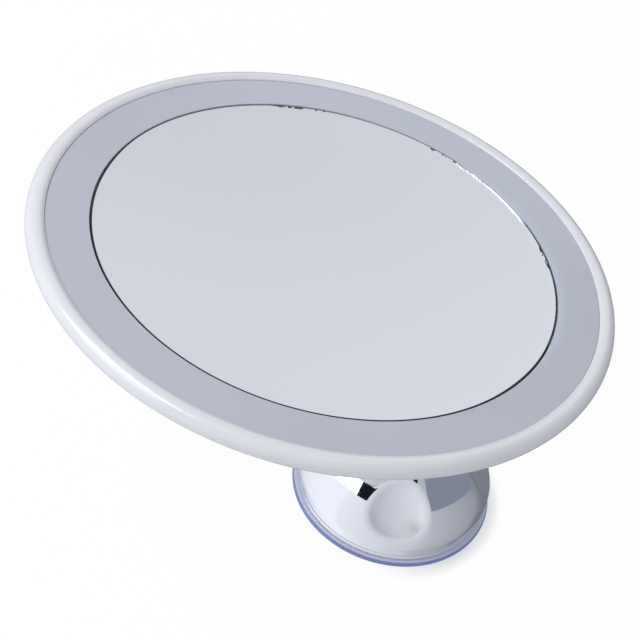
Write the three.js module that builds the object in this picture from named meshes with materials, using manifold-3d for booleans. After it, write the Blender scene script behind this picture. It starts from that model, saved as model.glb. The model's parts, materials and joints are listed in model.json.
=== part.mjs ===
// A lighted round makeup mirror on a ball joint, with a twist-lock suction base.
// Millimetres, +Z up. The origin is the centre of the suction cup's underside.
import * as THREE from "three";
import { mergeVertices } from "three/addons/utils/BufferGeometryUtils.js";
import Module from "manifold-3d";

const wasm = await Module();
wasm.setup();

// Clearances shared by all pieces
const seatGap = 0.3; // left where one piece rests on, or slides in, another
const overrun = 1.5; // how far a cutting tool runs past the face it cuts

// Suction cup
const cupRadius = 37;
const cupEdge = 2.3; // thickness at the rim
const cupBevel = 0.6; // the rim is widest in its lower half and this much smaller elsewhere
const cupWidest = 0.8; // height where the rim is widest
const cupBossWall = 3.5; // soft wall round the stud's foot
const cupBossLip = 1.8; // soft lip over the stud's foot
const cupBossFillet = 2.2;
const cupFloor = 2.2; // soft plastic left under the stud's foot

// Pull stud and its cross pin
const studFootRadius = 8;
const studFootThickness = 1.6;
const studRadius = 3.9;
const studCrown = 4.5; // how far the stud stands above the pin
const pinRadius = 1;
const pinHeight = 17.5;
const pinInset = 0.7; // each end of the pin stays this far inside the cam's rim
const studLift = 3; // how far a full twist of the dome lifts the stud
const studRoom = 2.4; // left over the lifted stud

// Pressure bell with its guide tube
const bellPlay = 1.2; // between the skirt and the dome round it
const bellWall = 1.8;
const bellShoulder = 5; // height where the skirt turns in
const bellDeckTop = 12;
const bellDeckThickness = 1.8;
const bellTaper = 7.2; // how much narrower the deck is than the skirt
const tubeWall = 2.2;
const tubeDrop = 0.8; // how far the tube's end lies below the dome's crown
const bellRibCount = 6;
const bellRibThickness = 1.4;

// Cam ring inside the dome
const camPlay = 0.4; // round the tube
const camWidth = 5.2;
const camTravel = 100; // degrees of twist from free to locked
const camLead = 16; // degrees of flat before the ramp
const camDwell = 14; // degrees of flat after the ramp
const camClearance = 0.35; // under the pin, which bears on the ramp
const camKeyFirst = 45; // degrees, where the first lug stands
const camLugCount = 4;
const camLugWidth = 3;
const camLugReach = 1.6;

// Twist dome
const domeStep = 1.2; // how far its lip stands in from the cup's top edge
const domeBulge = 0.3; // how far it swells out above the lip
const domeLipHeight = 0.9;
const domeTop = 36.2;
const domeCrownRadius = 9.6; // flat ring at the top, under the washer
const domeWall = 2;
const domeHubWall = 1.9;
const domeHubPlay = 0.5; // round the cam ring
const scoopCount = 4;
const scoopDirection = -79; // degrees about Z, where the first scoop faces
const scoopWidth = 27;
const scoopHeight = 30;
const scoopThickness = 14;
const scoopOutShare = 0.908; // its centre's place along the dome's radius
const scoopUpShare = 0.637; // its centre's place along the dome's height
const scoopLean = 36.8; // degrees that the hollow leans in with the dome's side
const scoopTaperShare = 0.28; // how much narrower the egg is at its upper end

// Slip washer and ball stem
const washerThickness = 0.8;
const washerRim = 0.5; // the washer is this much smaller than the flange above it
const flangeOverhang = 0.2; // of the stem's flange over the dome's crown
const stemFlangeThickness = 1.5;
const stemNeckRadius = 3.9;
const stemFlareHeight = 11;
const ballHeight = 72.1; // centre of the ball above the table
const ballRadius = 8;

// Friction liners round the ball
const linerThickness = 0.8;
const linerCupAngle = 115; // degrees from the pole to the lower edge
const linerRingTopAngle = 25;
const linerRingLowAngle = 116;
const socketGap = 0.3; // between each pair of ball surfaces

// How the head sits on the ball in the photograph
const headTilt = 5.25; // degrees off level
const headTiltDirection = 65.9; // degrees about Z, towards which the face leans
const socketOffset = 44.8; // from the head's centre to the socket
const socketReach = 6; // from the head's flat back to the ball's centre

// Mirror glass and its pad. Depths in the head are taken from the bezel's inner edge
const mirrorRadius = 79.2;
const mirrorThickness = 2.5;
const mirrorDrop = 1; // depth of its rim
const mirrorSag = 3.5; // how deep the concave face is at its centre
const padInset = 5.2; // of the pad inside the glass's rim
const padWidth = 16;
const padThickness = 1.1; // at its inner edge, where it is thinnest

// Diffuser
const lightRingWidth = 14.8; // from the glass out to the bezel
const mirrorSlit = 0.4; // open line between glass and diffuser
const diffuserDrop = 0.6; // depth of its face
const diffuserThickness = 1.6;
const diffuserPlay = 0.6; // between its flange and the bezel's wall
const diffuserFlangeThickness = 1.5;

// Bezel
const beadRadius = 3.5; // the bezel's rounded outside
const beadInset = 2.4; // from its inner edge to the centre of the bead
const beadDepth = 2.85; // depth of the bead's centre
const beadLowAngle = -52; // degrees, where it meets the rear cover
const bezelLip = 1.5; // thickness of the lip over the diffuser

// Light tray
const trayPlay = 0.5; // between the tray and the cover's side
const trayPlate = 1.2;
const trayWall = 1.4;
const trayLedge = 4.4; // of plate inside the screw bosses
const trayBossRadius = 3.6;
const trayBossLength = 4.3;
const wireHoleRadius = 3;

// Light board
const boardPlay = 0.6; // inside the tray's wall
const boardThickness = 1.2;
const ledCount = 16;
const ledLength = 3.5;
const ledWidth = 2.8;
const ledHeight = 1;

// Rear cover
const glassRoom = 2.8; // between the glass's back and the battery bay
const coverWall = 2.2;
const coverFlatRadius = 66;
const coverRimWall = 1.9;
const coverRibCount = 12;
const coverRibThickness = 1.4;
const coverRibHeight = 3;
const bossWall = 2.8; // round the socket, with the thread outside
const socketWall = 2; // over the socket
const bossCrownFrom = 72; // degrees, where the crown over the socket starts
const bossCrownTo = 30; // degrees, where it meets the flat back

// Clamp nut
const nutWall = 2.9;
const nutLipAngle = 125; // degrees from the pole to the lip
const nutLipWall = 2.1;
const nutChamfer = 1.4;
const nutGripCount = 12;
const nutGripRadius = 2.2;
const nutGripDepth = 0.6;

// Case screws
const screwCount = 6;
const screwInset = 6; // from the edge of the flat back
const screwFirst = 30; // degrees about the head's axis
const screwHeadRadius = 2.8;
const screwHeadHeight = 1.8;
const screwRadius = 1.4;
const screwRecess = 6.7; // from the flat back in to the underside of the screw's head
const wellWall = 1.5;

// Batteries, bay and door
const cellCount = 3;
const cellRadius = 5.2;
const cellLength = 44.5;
const cellNubRadius = 1.9;
const cellNubHeight = 1.1;
const cellShoulder = 0.5;
const cellGap = 0.6; // between neighbours
const bayCentreX = 1;
const bayPlay = 0.2; // between the cells and the bay's floor
const bayMargin = 0.5; // outside the row of cells
const springRoom = 7.9; // how much longer the bay is than a cell
const bayWall = 1.1;
const doorThickness = 1.6;
const doorMargin = 1.5; // how far the door's ledge runs round the bay
const doorTrunnion = 1.2; // length of each hinge pin
const doorTrunnionRadius = 0.55;
const doorTongueWidth = 9;
const doorTongueReach = 1.4;
const doorGripCount = 4;
const doorGripWidth = 0.8;
const doorGripDepth = 0.5;
const doorGripLength = 14;
const doorGripPitch = 2;
const doorRibWidth = 1.4;
const doorRibHeight = 0.5;

// Battery contacts
const contactWidth = 8;
const contactThickness = 0.5;
const springRadius = 3;
const springTipRadius = 1.7;
const springWire = 0.35;
const springTurns = 3;

// Slide switch
const switchInset = 24; // from the edge of the flat back to the switch's middle
const switchTravel = 4;
const sliderLength = 8; // along its travel
const sliderWidth = 5.6;
const sliderHeight = 1.7;
const sliderProud = 0.7; // how far the knob stands out of the back
const sliderStemLength = 3;
const sliderStemWidth = 2.6;
const sliderStemDepth = 4.4;
const sliderRidgeCount = 4;
const sliderRidgeWidth = 0.7;
const sliderRidgeDepth = 0.4;
const switchBodyLength = 13;
const switchBodyWidth = 7;
const switchBodyHeight = 5;

// Wires
const wireRadius = 0.8;
const wireSides = 6;
const wireSteps = 14;

// Facets
const ringSteps = 40;
const domeSteps = 32;
const scoopSteps = 14;
const outlineSteps = 7;
const smallSteps = 12;
const ballSteps = 24;
const tinySteps = 8;

// Base: heights and radii that follow from the sizes above
const cupTopRadius = cupRadius - cupBevel;
const cupBossRadius = studFootRadius + cupBossWall;
const footTop = cupFloor + studFootThickness + 2 * seatGap;
const cupBossHeight = footTop + cupBossLip;
const studTop = pinHeight + studCrown;
const domeFoot = cupEdge + seatGap;
const domeLipRadius = cupTopRadius - domeStep;
const domeBulgeRadius = domeLipRadius + domeBulge;
const bellFoot = cupEdge + seatGap;
const bellRadius = domeLipRadius - domeWall - bellPlay;
const bellDeckUnder = bellDeckTop - bellDeckThickness;
const bellDeckRadius = bellRadius - bellTaper;
const tubeBore = studRadius + seatGap;
const tubeRadius = tubeBore + tubeWall;
const tubeTop = domeTop - tubeDrop;
const camInner = tubeRadius + camPlay;
const camOuter = camInner + camWidth;
const camFoot = bellDeckTop + seatGap;
const camLow = pinHeight - pinRadius - camClearance;
const camRingTop = (camFoot + camLow) / 2;
const pinHalfLength = camOuter - pinInset;
const domeBore = tubeRadius + seatGap;
const domeHubBore = camOuter + domeHubPlay;
const domeHubRadius = domeHubBore + domeHubWall;
const scoopCentreRadius = domeBulgeRadius * scoopOutShare;
const scoopCentreHeight = domeFoot + (domeTop - domeFoot) * scoopUpShare;
const washerFoot = domeTop + seatGap;
const flangeFoot = washerFoot + washerThickness + seatGap;
const stemFlangeRadius = domeCrownRadius + flangeOverhang;
const spigotFoot = studTop + studLift + studRoom;
const linerInner = ballRadius + socketGap;
const linerOuter = linerInner + linerThickness;
const ringInner = linerOuter + socketGap;
const ringOuter = ringInner + linerThickness;
const socketRadius = ringOuter + socketGap;
const bossRadius = socketRadius + bossWall;
const nutRadius = bossRadius + seatGap + nutWall;

// Head: depths and radii that follow
const bezelInner = mirrorRadius + lightRingWidth;
const beadCoreRadius = bezelInner + beadInset;
const beadInnerAngle = THREE.MathUtils.radToDeg(Math.acos(-beadInset / beadRadius));
const beadLowRadius = beadCoreRadius + beadRadius * Math.cos(angle(beadLowAngle));
const bezelFoot = beadDepth - beadRadius * Math.sin(angle(beadLowAngle));
const diffuserOuter = bezelInner - seatGap;
const diffuserInner = mirrorRadius + mirrorSlit;
const diffuserFlangeTop = bezelLip + seatGap;
const diffuserFlangeRadius = beadCoreRadius - diffuserPlay;
const diffuserFlangeFoot = diffuserFlangeTop + diffuserFlangeThickness;
const coverRimTop = diffuserFlangeFoot + seatGap;
const coverRimRadius = beadCoreRadius - seatGap;
const coverStep = bezelFoot + seatGap;
const padOuter = mirrorRadius - padInset;
const padInner = padOuter - padWidth;
const trayFloor = padTop(padInner) + padThickness + seatGap;
const trayFoot = trayFloor + trayPlate;
const wellTop = trayFoot + trayBossLength + seatGap;
const screwCircle = coverFlatRadius - screwInset;
const trayInner = screwCircle - trayBossRadius - trayLedge;
const collarInner = mirrorRadius + seatGap;
const boardInner = collarInner + trayWall + seatGap;
const bayFloor = mirrorDrop + mirrorSag + mirrorThickness + glassRoom + bayWall;
const cellDepth = bayFloor + bayPlay + cellRadius;
const doorInside = cellDepth + cellRadius + seatGap + doorRibHeight;
const coverDepth = doorInside + doorThickness;
const coverInside = coverDepth - coverWall;
const socketDepth = coverDepth + socketReach;
const screwSeat = coverDepth - screwRecess;
const wellRadius = screwHeadRadius + seatGap + wellWall;
const trayRadius = coverInsideRadius(-trayFoot) - trayPlay;
const boardOuter = trayRadius - trayWall - boardPlay;
const wireHoleX = -(boardInner + boardOuter) / 2;
const cellPitch = 2 * cellRadius + cellGap;
const bayWidth = cellCount * cellPitch + 2 * bayMargin;
const bayLength = cellLength + springRoom;
const ledgeDepth = doorInside - seatGap;
const doorWidth = bayWidth + 2 * (doorMargin - seatGap);
const doorLength = bayLength + 2 * (doorMargin - seatGap);
const nubFace = bayLength / 2 - contactThickness - 2 * seatGap; // where each cell's nub ends
const flatFace = cellLength - nubFace;
const springBase = bayLength / 2 - seatGap - contactThickness / 2;
const springLength = springBase - flatFace - seatGap - springWire;
const switchX = switchInset - coverFlatRadius;
const sliderDepth = coverDepth + sliderProud;
const pocketDepth = sliderDepth - sliderHeight - seatGap;

function angle(degrees) {
  return THREE.MathUtils.degToRad(degrees);
}

function point(radius, height) {
  return new THREE.Vector2(radius, height);
}

// Signed volume of an indexed mesh, to tell whether its faces point out
function signedVolume(positions, indices) {
  const corner = (n) => new THREE.Vector3().fromArray(positions, 3 * indices[n]);
  let sum = 0;
  for (let n = 0; n < indices.length; n += 3) {
    sum += corner(n).dot(corner(n + 1).cross(corner(n + 2)));
  }
  return sum;
}

// A closed mesh with shared corners becomes a solid that can be cut and joined
function solidOf(geometry) {
  const bare = geometry.clone();
  bare.deleteAttribute("normal");
  bare.deleteAttribute("uv");
  const merged = mergeVertices(bare);
  const positions = merged.attributes.position.array;
  const source = merged.index.array;
  const indices = [];
  for (let n = 0; n < source.length; n += 3) {
    const [a, b, c] = source.slice(n, n + 3);
    if (a !== b && b !== c && c !== a) indices.push(a, b, c);
  }
  if (signedVolume(positions, indices) < 0) indices.reverse();
  const mesh = new wasm.Mesh({
    numProp: 3,
    vertProperties: new Float32Array(positions),
    triVerts: new Uint32Array(indices),
  });
  return new wasm.Manifold(mesh);
}

function geometryOf(solid) {
  const mesh = solid.getMesh();
  const geometry = new THREE.BufferGeometry();
  geometry.setAttribute("position", new THREE.BufferAttribute(mesh.vertProperties, 3));
  geometry.setIndex(new THREE.BufferAttribute(mesh.triVerts, 1));
  geometry.computeVertexNormals();
  return geometry;
}

function joined(solids) {
  return solids.reduce((whole, solid) => whole.add(solid));
}

function without(solid, cutters) {
  return cutters.reduce((rest, cutter) => rest.subtract(cutter), solid);
}

// A profile of radius and height turned about Z
function turned(profile, steps) {
  const first = profile[0];
  const last = profile[profile.length - 1];
  const closed = first.x === 0 && last.x === 0 ? profile : [...profile, first.clone()];
  return new THREE.LatheGeometry(closed, steps).rotateX(Math.PI / 2);
}

function turnedSolid(profile, steps) {
  return solidOf(turned(profile, steps));
}

function cylinder(radius, low, high, steps, x = 0, y = 0) {
  const length = high - low;
  const geometry = new THREE.CylinderGeometry(radius, radius, length, steps);
  geometry.rotateX(Math.PI / 2).translate(x, y, low + length / 2);
  return solidOf(geometry);
}

// A block given by its centre in plan and its lowest and highest faces
function block(width, length, low, high, x = 0, y = 0) {
  const geometry = new THREE.BoxGeometry(width, length, high - low);
  return solidOf(geometry.translate(x, y, (low + high) / 2));
}

function roundedBlock(width, length, corner, low, high, x = 0) {
  const shape = new THREE.Shape();
  const w = width / 2;
  const l = length / 2;
  shape.moveTo(w - corner, -l);
  shape.absarc(w - corner, -l + corner, corner, -Math.PI / 2, 0);
  shape.absarc(w - corner, l - corner, corner, 0, Math.PI / 2);
  shape.absarc(-w + corner, l - corner, corner, Math.PI / 2, Math.PI);
  shape.absarc(-w + corner, -l + corner, corner, Math.PI, 1.5 * Math.PI);
  const options = { depth: high - low, bevelEnabled: false, curveSegments: 4 };
  return solidOf(new THREE.ExtrudeGeometry(shape, options).translate(x, 0, low));
}

function spun(solid, degrees) {
  return solid.rotate([0, 0, degrees]);
}

// Equal copies of a solid about Z
function ringOf(solid, count, first = 0) {
  return Array.from({ length: count }, (_, n) => spun(solid, first + (360 * n) / count));
}

// Points of an arc about a centre, from one angle to another
function arc(centreRadius, centreHeight, radius, from, to, steps) {
  return Array.from({ length: steps + 1 }, (_, n) => {
    const a = angle(from + ((to - from) * n) / steps);
    return point(centreRadius + radius * Math.cos(a), centreHeight + radius * Math.sin(a));
  });
}

// A smooth outline through a few chosen points
function smooth(points, steps) {
  return new THREE.SplineCurve(points).getPoints(steps);
}

// Suction cup: a soft disc with a bevelled rim and a boss that holds the stud's foot
function suctionCup() {
  const profile = [
    point(0, 0),
    point(cupTopRadius, 0),
    point(cupRadius, cupWidest),
    point(cupTopRadius, cupEdge),
    point(cupBossRadius + cupBossFillet, cupEdge),
    point(cupBossRadius, cupEdge + cupBossFillet),
    point(cupBossRadius, cupBossHeight),
    point(0, cupBossHeight),
  ];
  const pocket = cylinder(studFootRadius + seatGap, cupFloor, footTop, smallSteps);
  const throat = cylinder(studRadius + seatGap, cupFloor, cupBossHeight + overrun, smallSteps);
  return without(turnedSolid(profile, domeSteps), [pocket, throat]);
}

// Pull stud: foot, post and the hole for the pin
function pullStud() {
  const foot = cupFloor + seatGap;
  const profile = [
    point(0, foot),
    point(studFootRadius, foot),
    point(studFootRadius, foot + studFootThickness),
    point(studRadius, foot + studFootThickness),
    point(studRadius, studTop),
    point(0, studTop),
  ];
  const hole = cylinder(pinRadius + seatGap, -studFootRadius, studFootRadius, tinySteps);
  const across = hole.rotate([0, 90, 0]).translate([0, 0, pinHeight]);
  return turnedSolid(profile, smallSteps).subtract(across);
}

function crossPin() {
  const pin = cylinder(pinRadius, -pinHalfLength, pinHalfLength, tinySteps);
  return pin.rotate([0, 90, 0]).translate([0, 0, pinHeight]);
}

// Pressure bell: skirt, deck, guide tube with two slots for the pin, and ribs under the deck
function pressureBell() {
  const profile = [
    point(bellRadius - bellWall, bellFoot),
    point(bellRadius, bellFoot),
    point(bellRadius, bellShoulder),
    point(bellDeckRadius, bellDeckTop),
    point(tubeRadius, bellDeckTop),
    point(tubeRadius, tubeTop),
    point(tubeBore, tubeTop),
    point(tubeBore, bellDeckUnder),
    point(bellDeckRadius - bellWall, bellDeckUnder),
    point(bellRadius - bellWall, bellShoulder - bellDeckThickness / 2),
  ];
  const ribInner = cupBossRadius + cupBossFillet;
  const ribOuter = bellDeckRadius - bellWall / 2;
  const ribLow = bellShoulder;
  const ribHigh = bellDeckTop - bellDeckThickness / 2;
  const ribLength = ribOuter - ribInner;
  const rib = block(ribLength, bellRibThickness, ribLow, ribHigh, ribInner + ribLength / 2);
  const slotHalf = pinRadius + seatGap;
  const slotLow = pinHeight - slotHalf;
  const slotHigh = pinHeight + studLift + slotHalf;
  const slot = block(2 * camOuter, 2 * slotHalf, slotLow, slotHigh);
  const body = turnedSolid(profile, domeSteps);
  return joined([body, ...ringOf(rib, bellRibCount)]).subtract(slot);
}

// Height of the cam's ramp at an angle behind the pin, in degrees
function camHeight(degrees) {
  const share = THREE.MathUtils.clamp(degrees / camTravel, 0, 1);
  return camLow + studLift * share;
}

// One half of the cam: a wedge of ring whose top climbs as a helix
function camRamp() {
  const from = -camLead;
  const to = camTravel + camDwell;
  const stops = [from];
  for (let a = 0; a <= camTravel; a += 10) stops.push(a);
  stops.push(to);
  const positions = [];
  for (const a of stops) {
    const c = Math.cos(angle(-a));
    const s = Math.sin(angle(-a));
    const corners = [
      [camInner, camFoot],
      [camOuter, camFoot],
      [camOuter, camHeight(a)],
      [camInner, camHeight(a)],
    ];
    for (const [radius, height] of corners) positions.push(radius * c, radius * s, height);
  }
  const indices = [0, 1, 2, 0, 2, 3];
  for (let n = 0; n < stops.length - 1; n++) {
    const near = 4 * n;
    const far = near + 4;
    for (let side = 0; side < 4; side++) {
      const next = (side + 1) % 4;
      indices.push(near + side, far + side, far + next);
      indices.push(near + side, far + next, near + next);
    }
  }
  const end = 4 * (stops.length - 1);
  indices.push(end, end + 2, end + 1, end, end + 3, end + 2);
  const geometry = new THREE.BufferGeometry();
  geometry.setAttribute("position", new THREE.Float32BufferAttribute(positions, 3));
  geometry.setIndex(indices);
  return solidOf(geometry);
}

// Cam ring: a flat ring under both ramps, and lugs that key it to the dome's hub
function camRing() {
  const ring = without(cylinder(camOuter, camFoot, camRingTop, domeSteps), [
    cylinder(camInner, camFoot - overrun, camRingTop + overrun, domeSteps),
  ]);
  const lugLength = 2 * camLugReach;
  const lug = block(lugLength, camLugWidth, camFoot, camRingTop, camOuter);
  const ramp = camRamp();
  return joined([ring, ramp, spun(ramp, 180), ...ringOf(lug, camLugCount, camKeyFirst)]);
}

// The dome's outside: lip, bulge and the long curve up to the crown
function domeOutline() {
  const rise = domeTop - domeFoot;
  const drop = domeBulgeRadius - domeCrownRadius;
  const outlineShares = [
    [0.979, 0.042],
    [0.992, 0.125],
    [1, 0.2],
    [0.985, 0.286],
    [0.946, 0.381],
    [0.826, 0.542],
    [0.61, 0.717],
    [0.34, 0.869],
    [0.1, 0.973],
  ];
  const side = outlineShares.map(([out, up]) => {
    return point(domeCrownRadius + drop * out, domeFoot + rise * up);
  });
  return [
    point(domeLipRadius, domeFoot),
    point(domeLipRadius, domeFoot + domeLipHeight),
    ...smooth(side, outlineSteps),
    point(domeCrownRadius, domeTop),
  ];
}

// A finger scoop's hollow: an egg that leans with the dome's side, grown by a wall
function scoop(wall) {
  const thickness = scoopThickness / 2 + wall;
  const width = scoopWidth / 2 + wall;
  const height = scoopHeight / 2 + wall;
  const geometry = new THREE.SphereGeometry(height, scoopSteps, scoopSteps / 2);
  geometry.scale(thickness / height, width / height, 1);
  const corners = geometry.attributes.position;
  for (let n = 0; n < corners.count; n++) {
    const upShare = corners.getZ(n) / height;
    corners.setY(n, corners.getY(n) * (1 - scoopTaperShare * upShare));
  }
  geometry.rotateY(-angle(scoopLean));
  geometry.translate(scoopCentreRadius, 0, scoopCentreHeight);
  return solidOf(geometry);
}

// Twist dome: a thin shell with four scoops, a hub round the cam and a bore for the tube
function twistDome() {
  const outline = domeOutline();
  const outside = turnedSolid([point(0, domeFoot), ...outline, point(0, domeTop)], domeSteps);
  const coarse = outline.slice(2, -1).filter((_, n) => n % 2 === 0);
  const hollow = coarse.map((p) => point(p.x - domeWall, p.y - domeWall));
  const ceiling = domeTop - domeWall;
  const inside = turnedSolid(
    [
      point(0, domeFoot - overrun),
      point(domeLipRadius - domeWall, domeFoot - overrun),
      ...hollow,
      point(domeCrownRadius - domeWall / 2, ceiling),
      point(0, ceiling),
    ],
    domeSteps,
  );
  const walls = ringOf(scoop(domeWall), scoopCount, scoopDirection);
  const shell = without(outside, [without(inside, walls)]);
  const hubTop = ceiling + domeWall / 2;
  const hubFoot = camFoot + seatGap;
  const hub = without(cylinder(domeHubRadius, hubFoot, hubTop, domeSteps).intersect(outside), [
    cylinder(domeHubBore, hubFoot - overrun, hubTop + overrun, domeSteps),
  ]);
  const keyWidth = camLugWidth + 2 * seatGap;
  const keyTop = camRingTop + seatGap;
  const keyMiddle = domeHubRadius - domeHubWall / 2;
  const key = block(2 * domeHubWall, keyWidth, hubFoot - overrun, keyTop, keyMiddle);
  const bore = cylinder(domeBore, domeFoot, domeTop + overrun, domeSteps);
  const scoops = ringOf(scoop(0), scoopCount, scoopDirection);
  return without(shell.add(hub), [...ringOf(key, camLugCount, camKeyFirst), bore, ...scoops]);
}

function slipWasher() {
  const outer = stemFlangeRadius - washerRim;
  const top = washerFoot + washerThickness;
  return cylinder(outer, washerFoot, top, ballSteps).subtract(
    cylinder(domeBore, washerFoot - overrun, top + overrun, ballSteps),
  );
}

// Ball stem: spigot in the tube, flange over the washer, swept neck and the ball
function ballStem() {
  const flangeTop = flangeFoot + stemFlangeThickness;
  const spigotRadius = tubeBore - seatGap;
  const neckTop = ballHeight - Math.sqrt(ballRadius ** 2 - stemNeckRadius ** 2);
  const flare = stemFlangeRadius - stemNeckRadius;
  const flareShares = [
    [0.86, 0.03],
    [0.5, 0.14],
    [0.2, 0.4],
    [0, 1],
  ];
  const sweep = flareShares.map(([out, up]) => {
    return point(stemNeckRadius + flare * out, flangeTop + stemFlareHeight * up);
  });
  const neckAngle = (-Math.acos(stemNeckRadius / ballRadius) * 180) / Math.PI;
  const ball = arc(0, ballHeight, ballRadius, neckAngle, 90, 8);
  ball[ball.length - 1] = point(0, ballHeight + ballRadius);
  const profile = [
    point(0, spigotFoot),
    point(spigotRadius, spigotFoot),
    point(spigotRadius, flangeFoot),
    point(stemFlangeRadius, flangeFoot),
    point(stemFlangeRadius, flangeTop),
    ...sweep,
    point(stemNeckRadius, neckTop),
    ...ball.slice(1),
  ];
  return turnedSolid(profile, ballSteps);
}

// A shell between two spheres about the ball's centre, between two angles from the pole
function ballShell(inner, outer, from, to) {
  const steps = 6;
  const outside = arc(0, 0, outer, 90 - from, 90 - to, steps);
  const inside = arc(0, 0, inner, 90 - to, 90 - from, steps);
  if (from === 0) {
    outside[0] = point(0, outer);
    inside[steps] = point(0, inner);
  }
  return turnedSolid([...outside, ...inside], ballSteps);
}

function ballLiner() {
  return ballShell(linerInner, linerOuter, 0, linerCupAngle);
}

function linerRing() {
  return ballShell(ringInner, ringOuter, linerRingTopAngle, linerRingLowAngle);
}

// Clamp nut about the ball's centre: thread bore, seat under the ball, grip flutes
function clampNut() {
  const top = socketDepth - coverDepth - seatGap;
  const lipLow = (socketRadius + nutLipWall) * Math.cos(angle(nutLipAngle));
  const lipRadius = (socketRadius + nutLipWall) * Math.sin(angle(nutLipAngle));
  const bore = bossRadius + seatGap;
  const profile = [
    point(bore, top),
    point(nutRadius, top),
    point(nutRadius, lipLow + nutChamfer),
    point(nutRadius - nutChamfer, lipLow),
    point(lipRadius, lipLow),
    ...arc(0, 0, socketRadius, 90 - nutLipAngle, 0, 3),
    point(bore, 0),
  ];
  const flute = cylinder(nutGripRadius, lipLow - overrun, top + overrun, tinySteps);
  const reach = nutRadius + nutGripRadius - nutGripDepth;
  const grips = ringOf(flute.translate([reach, 0, 0]), nutGripCount);
  return without(turnedSolid(profile, 2 * nutGripCount), grips);
}

// Bezel: a rounded bead outside, a lip over the diffuser inside
function frontBezel() {
  const profile = [
    point(bezelInner, -bezelLip),
    ...arc(beadCoreRadius, -beadDepth, beadRadius, beadInnerAngle, beadLowAngle, outlineSteps),
    point(beadCoreRadius, -bezelFoot),
    point(beadCoreRadius, -bezelLip),
  ];
  return turnedSolid(profile, ringSteps);
}

function diffuserRing() {
  const flangeInner = trayRadius + seatGap;
  const foot = -diffuserDrop - diffuserThickness;
  const profile = [
    point(diffuserInner, -diffuserDrop),
    point(diffuserOuter, -diffuserDrop),
    point(diffuserOuter, -diffuserFlangeTop),
    point(diffuserFlangeRadius, -diffuserFlangeTop),
    point(diffuserFlangeRadius, -diffuserFlangeFoot),
    point(flangeInner, -diffuserFlangeFoot),
    point(flangeInner, foot),
    point(diffuserInner, foot),
  ];
  return turnedSolid(profile, ringSteps);
}

// Depth of the concave glass below its rim at a radius
function mirrorDip(radius) {
  return mirrorSag * (1 - (radius / mirrorRadius) ** 2);
}

function mirrorGlass() {
  const radii = [0, 0.4, 0.75, 1].map((share) => mirrorRadius * share);
  const front = radii.map((r) => point(r, -mirrorDrop - mirrorDip(r)));
  const back = radii.map((r) => point(r, -mirrorDrop - mirrorDip(r) - mirrorThickness));
  return turnedSolid([...front, ...back.reverse()], ringSteps);
}

// Depth of the pad's face at a radius: it follows the back of the glass
function padTop(radius) {
  return mirrorDrop + mirrorDip(radius) + mirrorThickness + seatGap;
}

function mirrorPad() {
  const profile = [
    point(padInner, -padTop(padInner)),
    point(padOuter, -padTop(padOuter)),
    point(padOuter, -trayFloor + seatGap),
    point(padInner, -trayFloor + seatGap),
  ];
  return turnedSolid(profile, ringSteps);
}

// Light tray: plate, collar round the glass, outer wall, screw bosses and a wire hole
function lightTray() {
  const collarTop = -diffuserDrop - diffuserThickness - seatGap;
  const wallTop = collarTop;
  const profile = [
    point(trayInner, -trayFoot),
    point(trayRadius, -trayFoot),
    point(trayRadius, wallTop),
    point(trayRadius - trayWall, wallTop),
    point(trayRadius - trayWall, -trayFloor),
    point(collarInner + trayWall, -trayFloor),
    point(collarInner + trayWall, collarTop),
    point(collarInner, collarTop),
    point(collarInner, -trayFloor),
    point(trayInner, -trayFloor),
  ];
  const bossFoot = -trayFoot - trayBossLength;
  const boss = cylinder(trayBossRadius, bossFoot, -trayFoot + trayPlate / 2, tinySteps, screwCircle);
  const pilotTop = -trayFoot + trayPlate / 2;
  const pilot = cylinder(screwRadius + seatGap, bossFoot - overrun, pilotTop, tinySteps, screwCircle);
  const holeLow = -trayFoot - overrun;
  const wireHole = cylinder(wireHoleRadius, holeLow, -trayFloor + overrun, tinySteps, wireHoleX);
  const bosses = ringOf(boss, screwCount, screwFirst);
  const pilots = ringOf(pilot, screwCount, screwFirst);
  return without(joined([turnedSolid(profile, ringSteps), ...bosses]), [...pilots, wireHole]);
}

// Ring board with its lights standing on it
function ledBoard() {
  const foot = -trayFloor + seatGap;
  const top = foot + boardThickness;
  const ring = cylinder(boardOuter, foot, top, ringSteps).subtract(
    cylinder(boardInner, foot - overrun, top + overrun, ringSteps),
  );
  const middle = (boardInner + boardOuter) / 2;
  const led = block(ledWidth, ledLength, top - boardThickness / 2, top + ledHeight, middle);
  return joined([ring, ...ringOf(led, ledCount)]);
}

// The rear cover's outside, from its seam with the bezel to the flat back
function coverOutline() {
  const depth = coverDepth - coverStep;
  const reach = beadLowRadius - seatGap - coverFlatRadius;
  const outlineShares = [
    [1, 0],
    [0.955, 0.065],
    [0.79, 0.27],
    [0.59, 0.55],
    [0.36, 0.84],
    [0, 1],
  ];
  return outlineShares.map(([out, down]) => {
    return point(coverFlatRadius + reach * out, -coverStep - depth * down);
  });
}

// The cover's inside runs one wall in from its outline
function coverInsideLine() {
  const line = coverOutline().slice(1, -1);
  return line.map((p) => point(p.x - coverWall, p.y + coverWall));
}

// Radius of the cover's inside at a height
function coverInsideRadius(height) {
  const line = coverInsideLine();
  const n = line.findIndex((p) => p.y < height);
  const share = (line[n - 1].y - height) / (line[n - 1].y - line[n].y);
  return THREE.MathUtils.lerp(line[n - 1].x, line[n].x, share);
}

function coverShell() {
  const outline = coverOutline();
  const inside = coverInsideLine();
  const rimFoot = inside[0].y;
  const profile = [
    point(0, -coverDepth),
    ...outline.slice().reverse(),
    point(coverRimRadius, -coverStep),
    point(coverRimRadius, -coverRimTop),
    point(coverRimRadius - coverRimWall, -coverRimTop),
    point(coverRimRadius - coverRimWall, rimFoot),
    ...inside.slice(1),
    point(coverFlatRadius - coverWall, -coverInside),
    point(0, -coverInside),
  ];
  return turnedSolid(profile, ringSteps);
}

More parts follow.
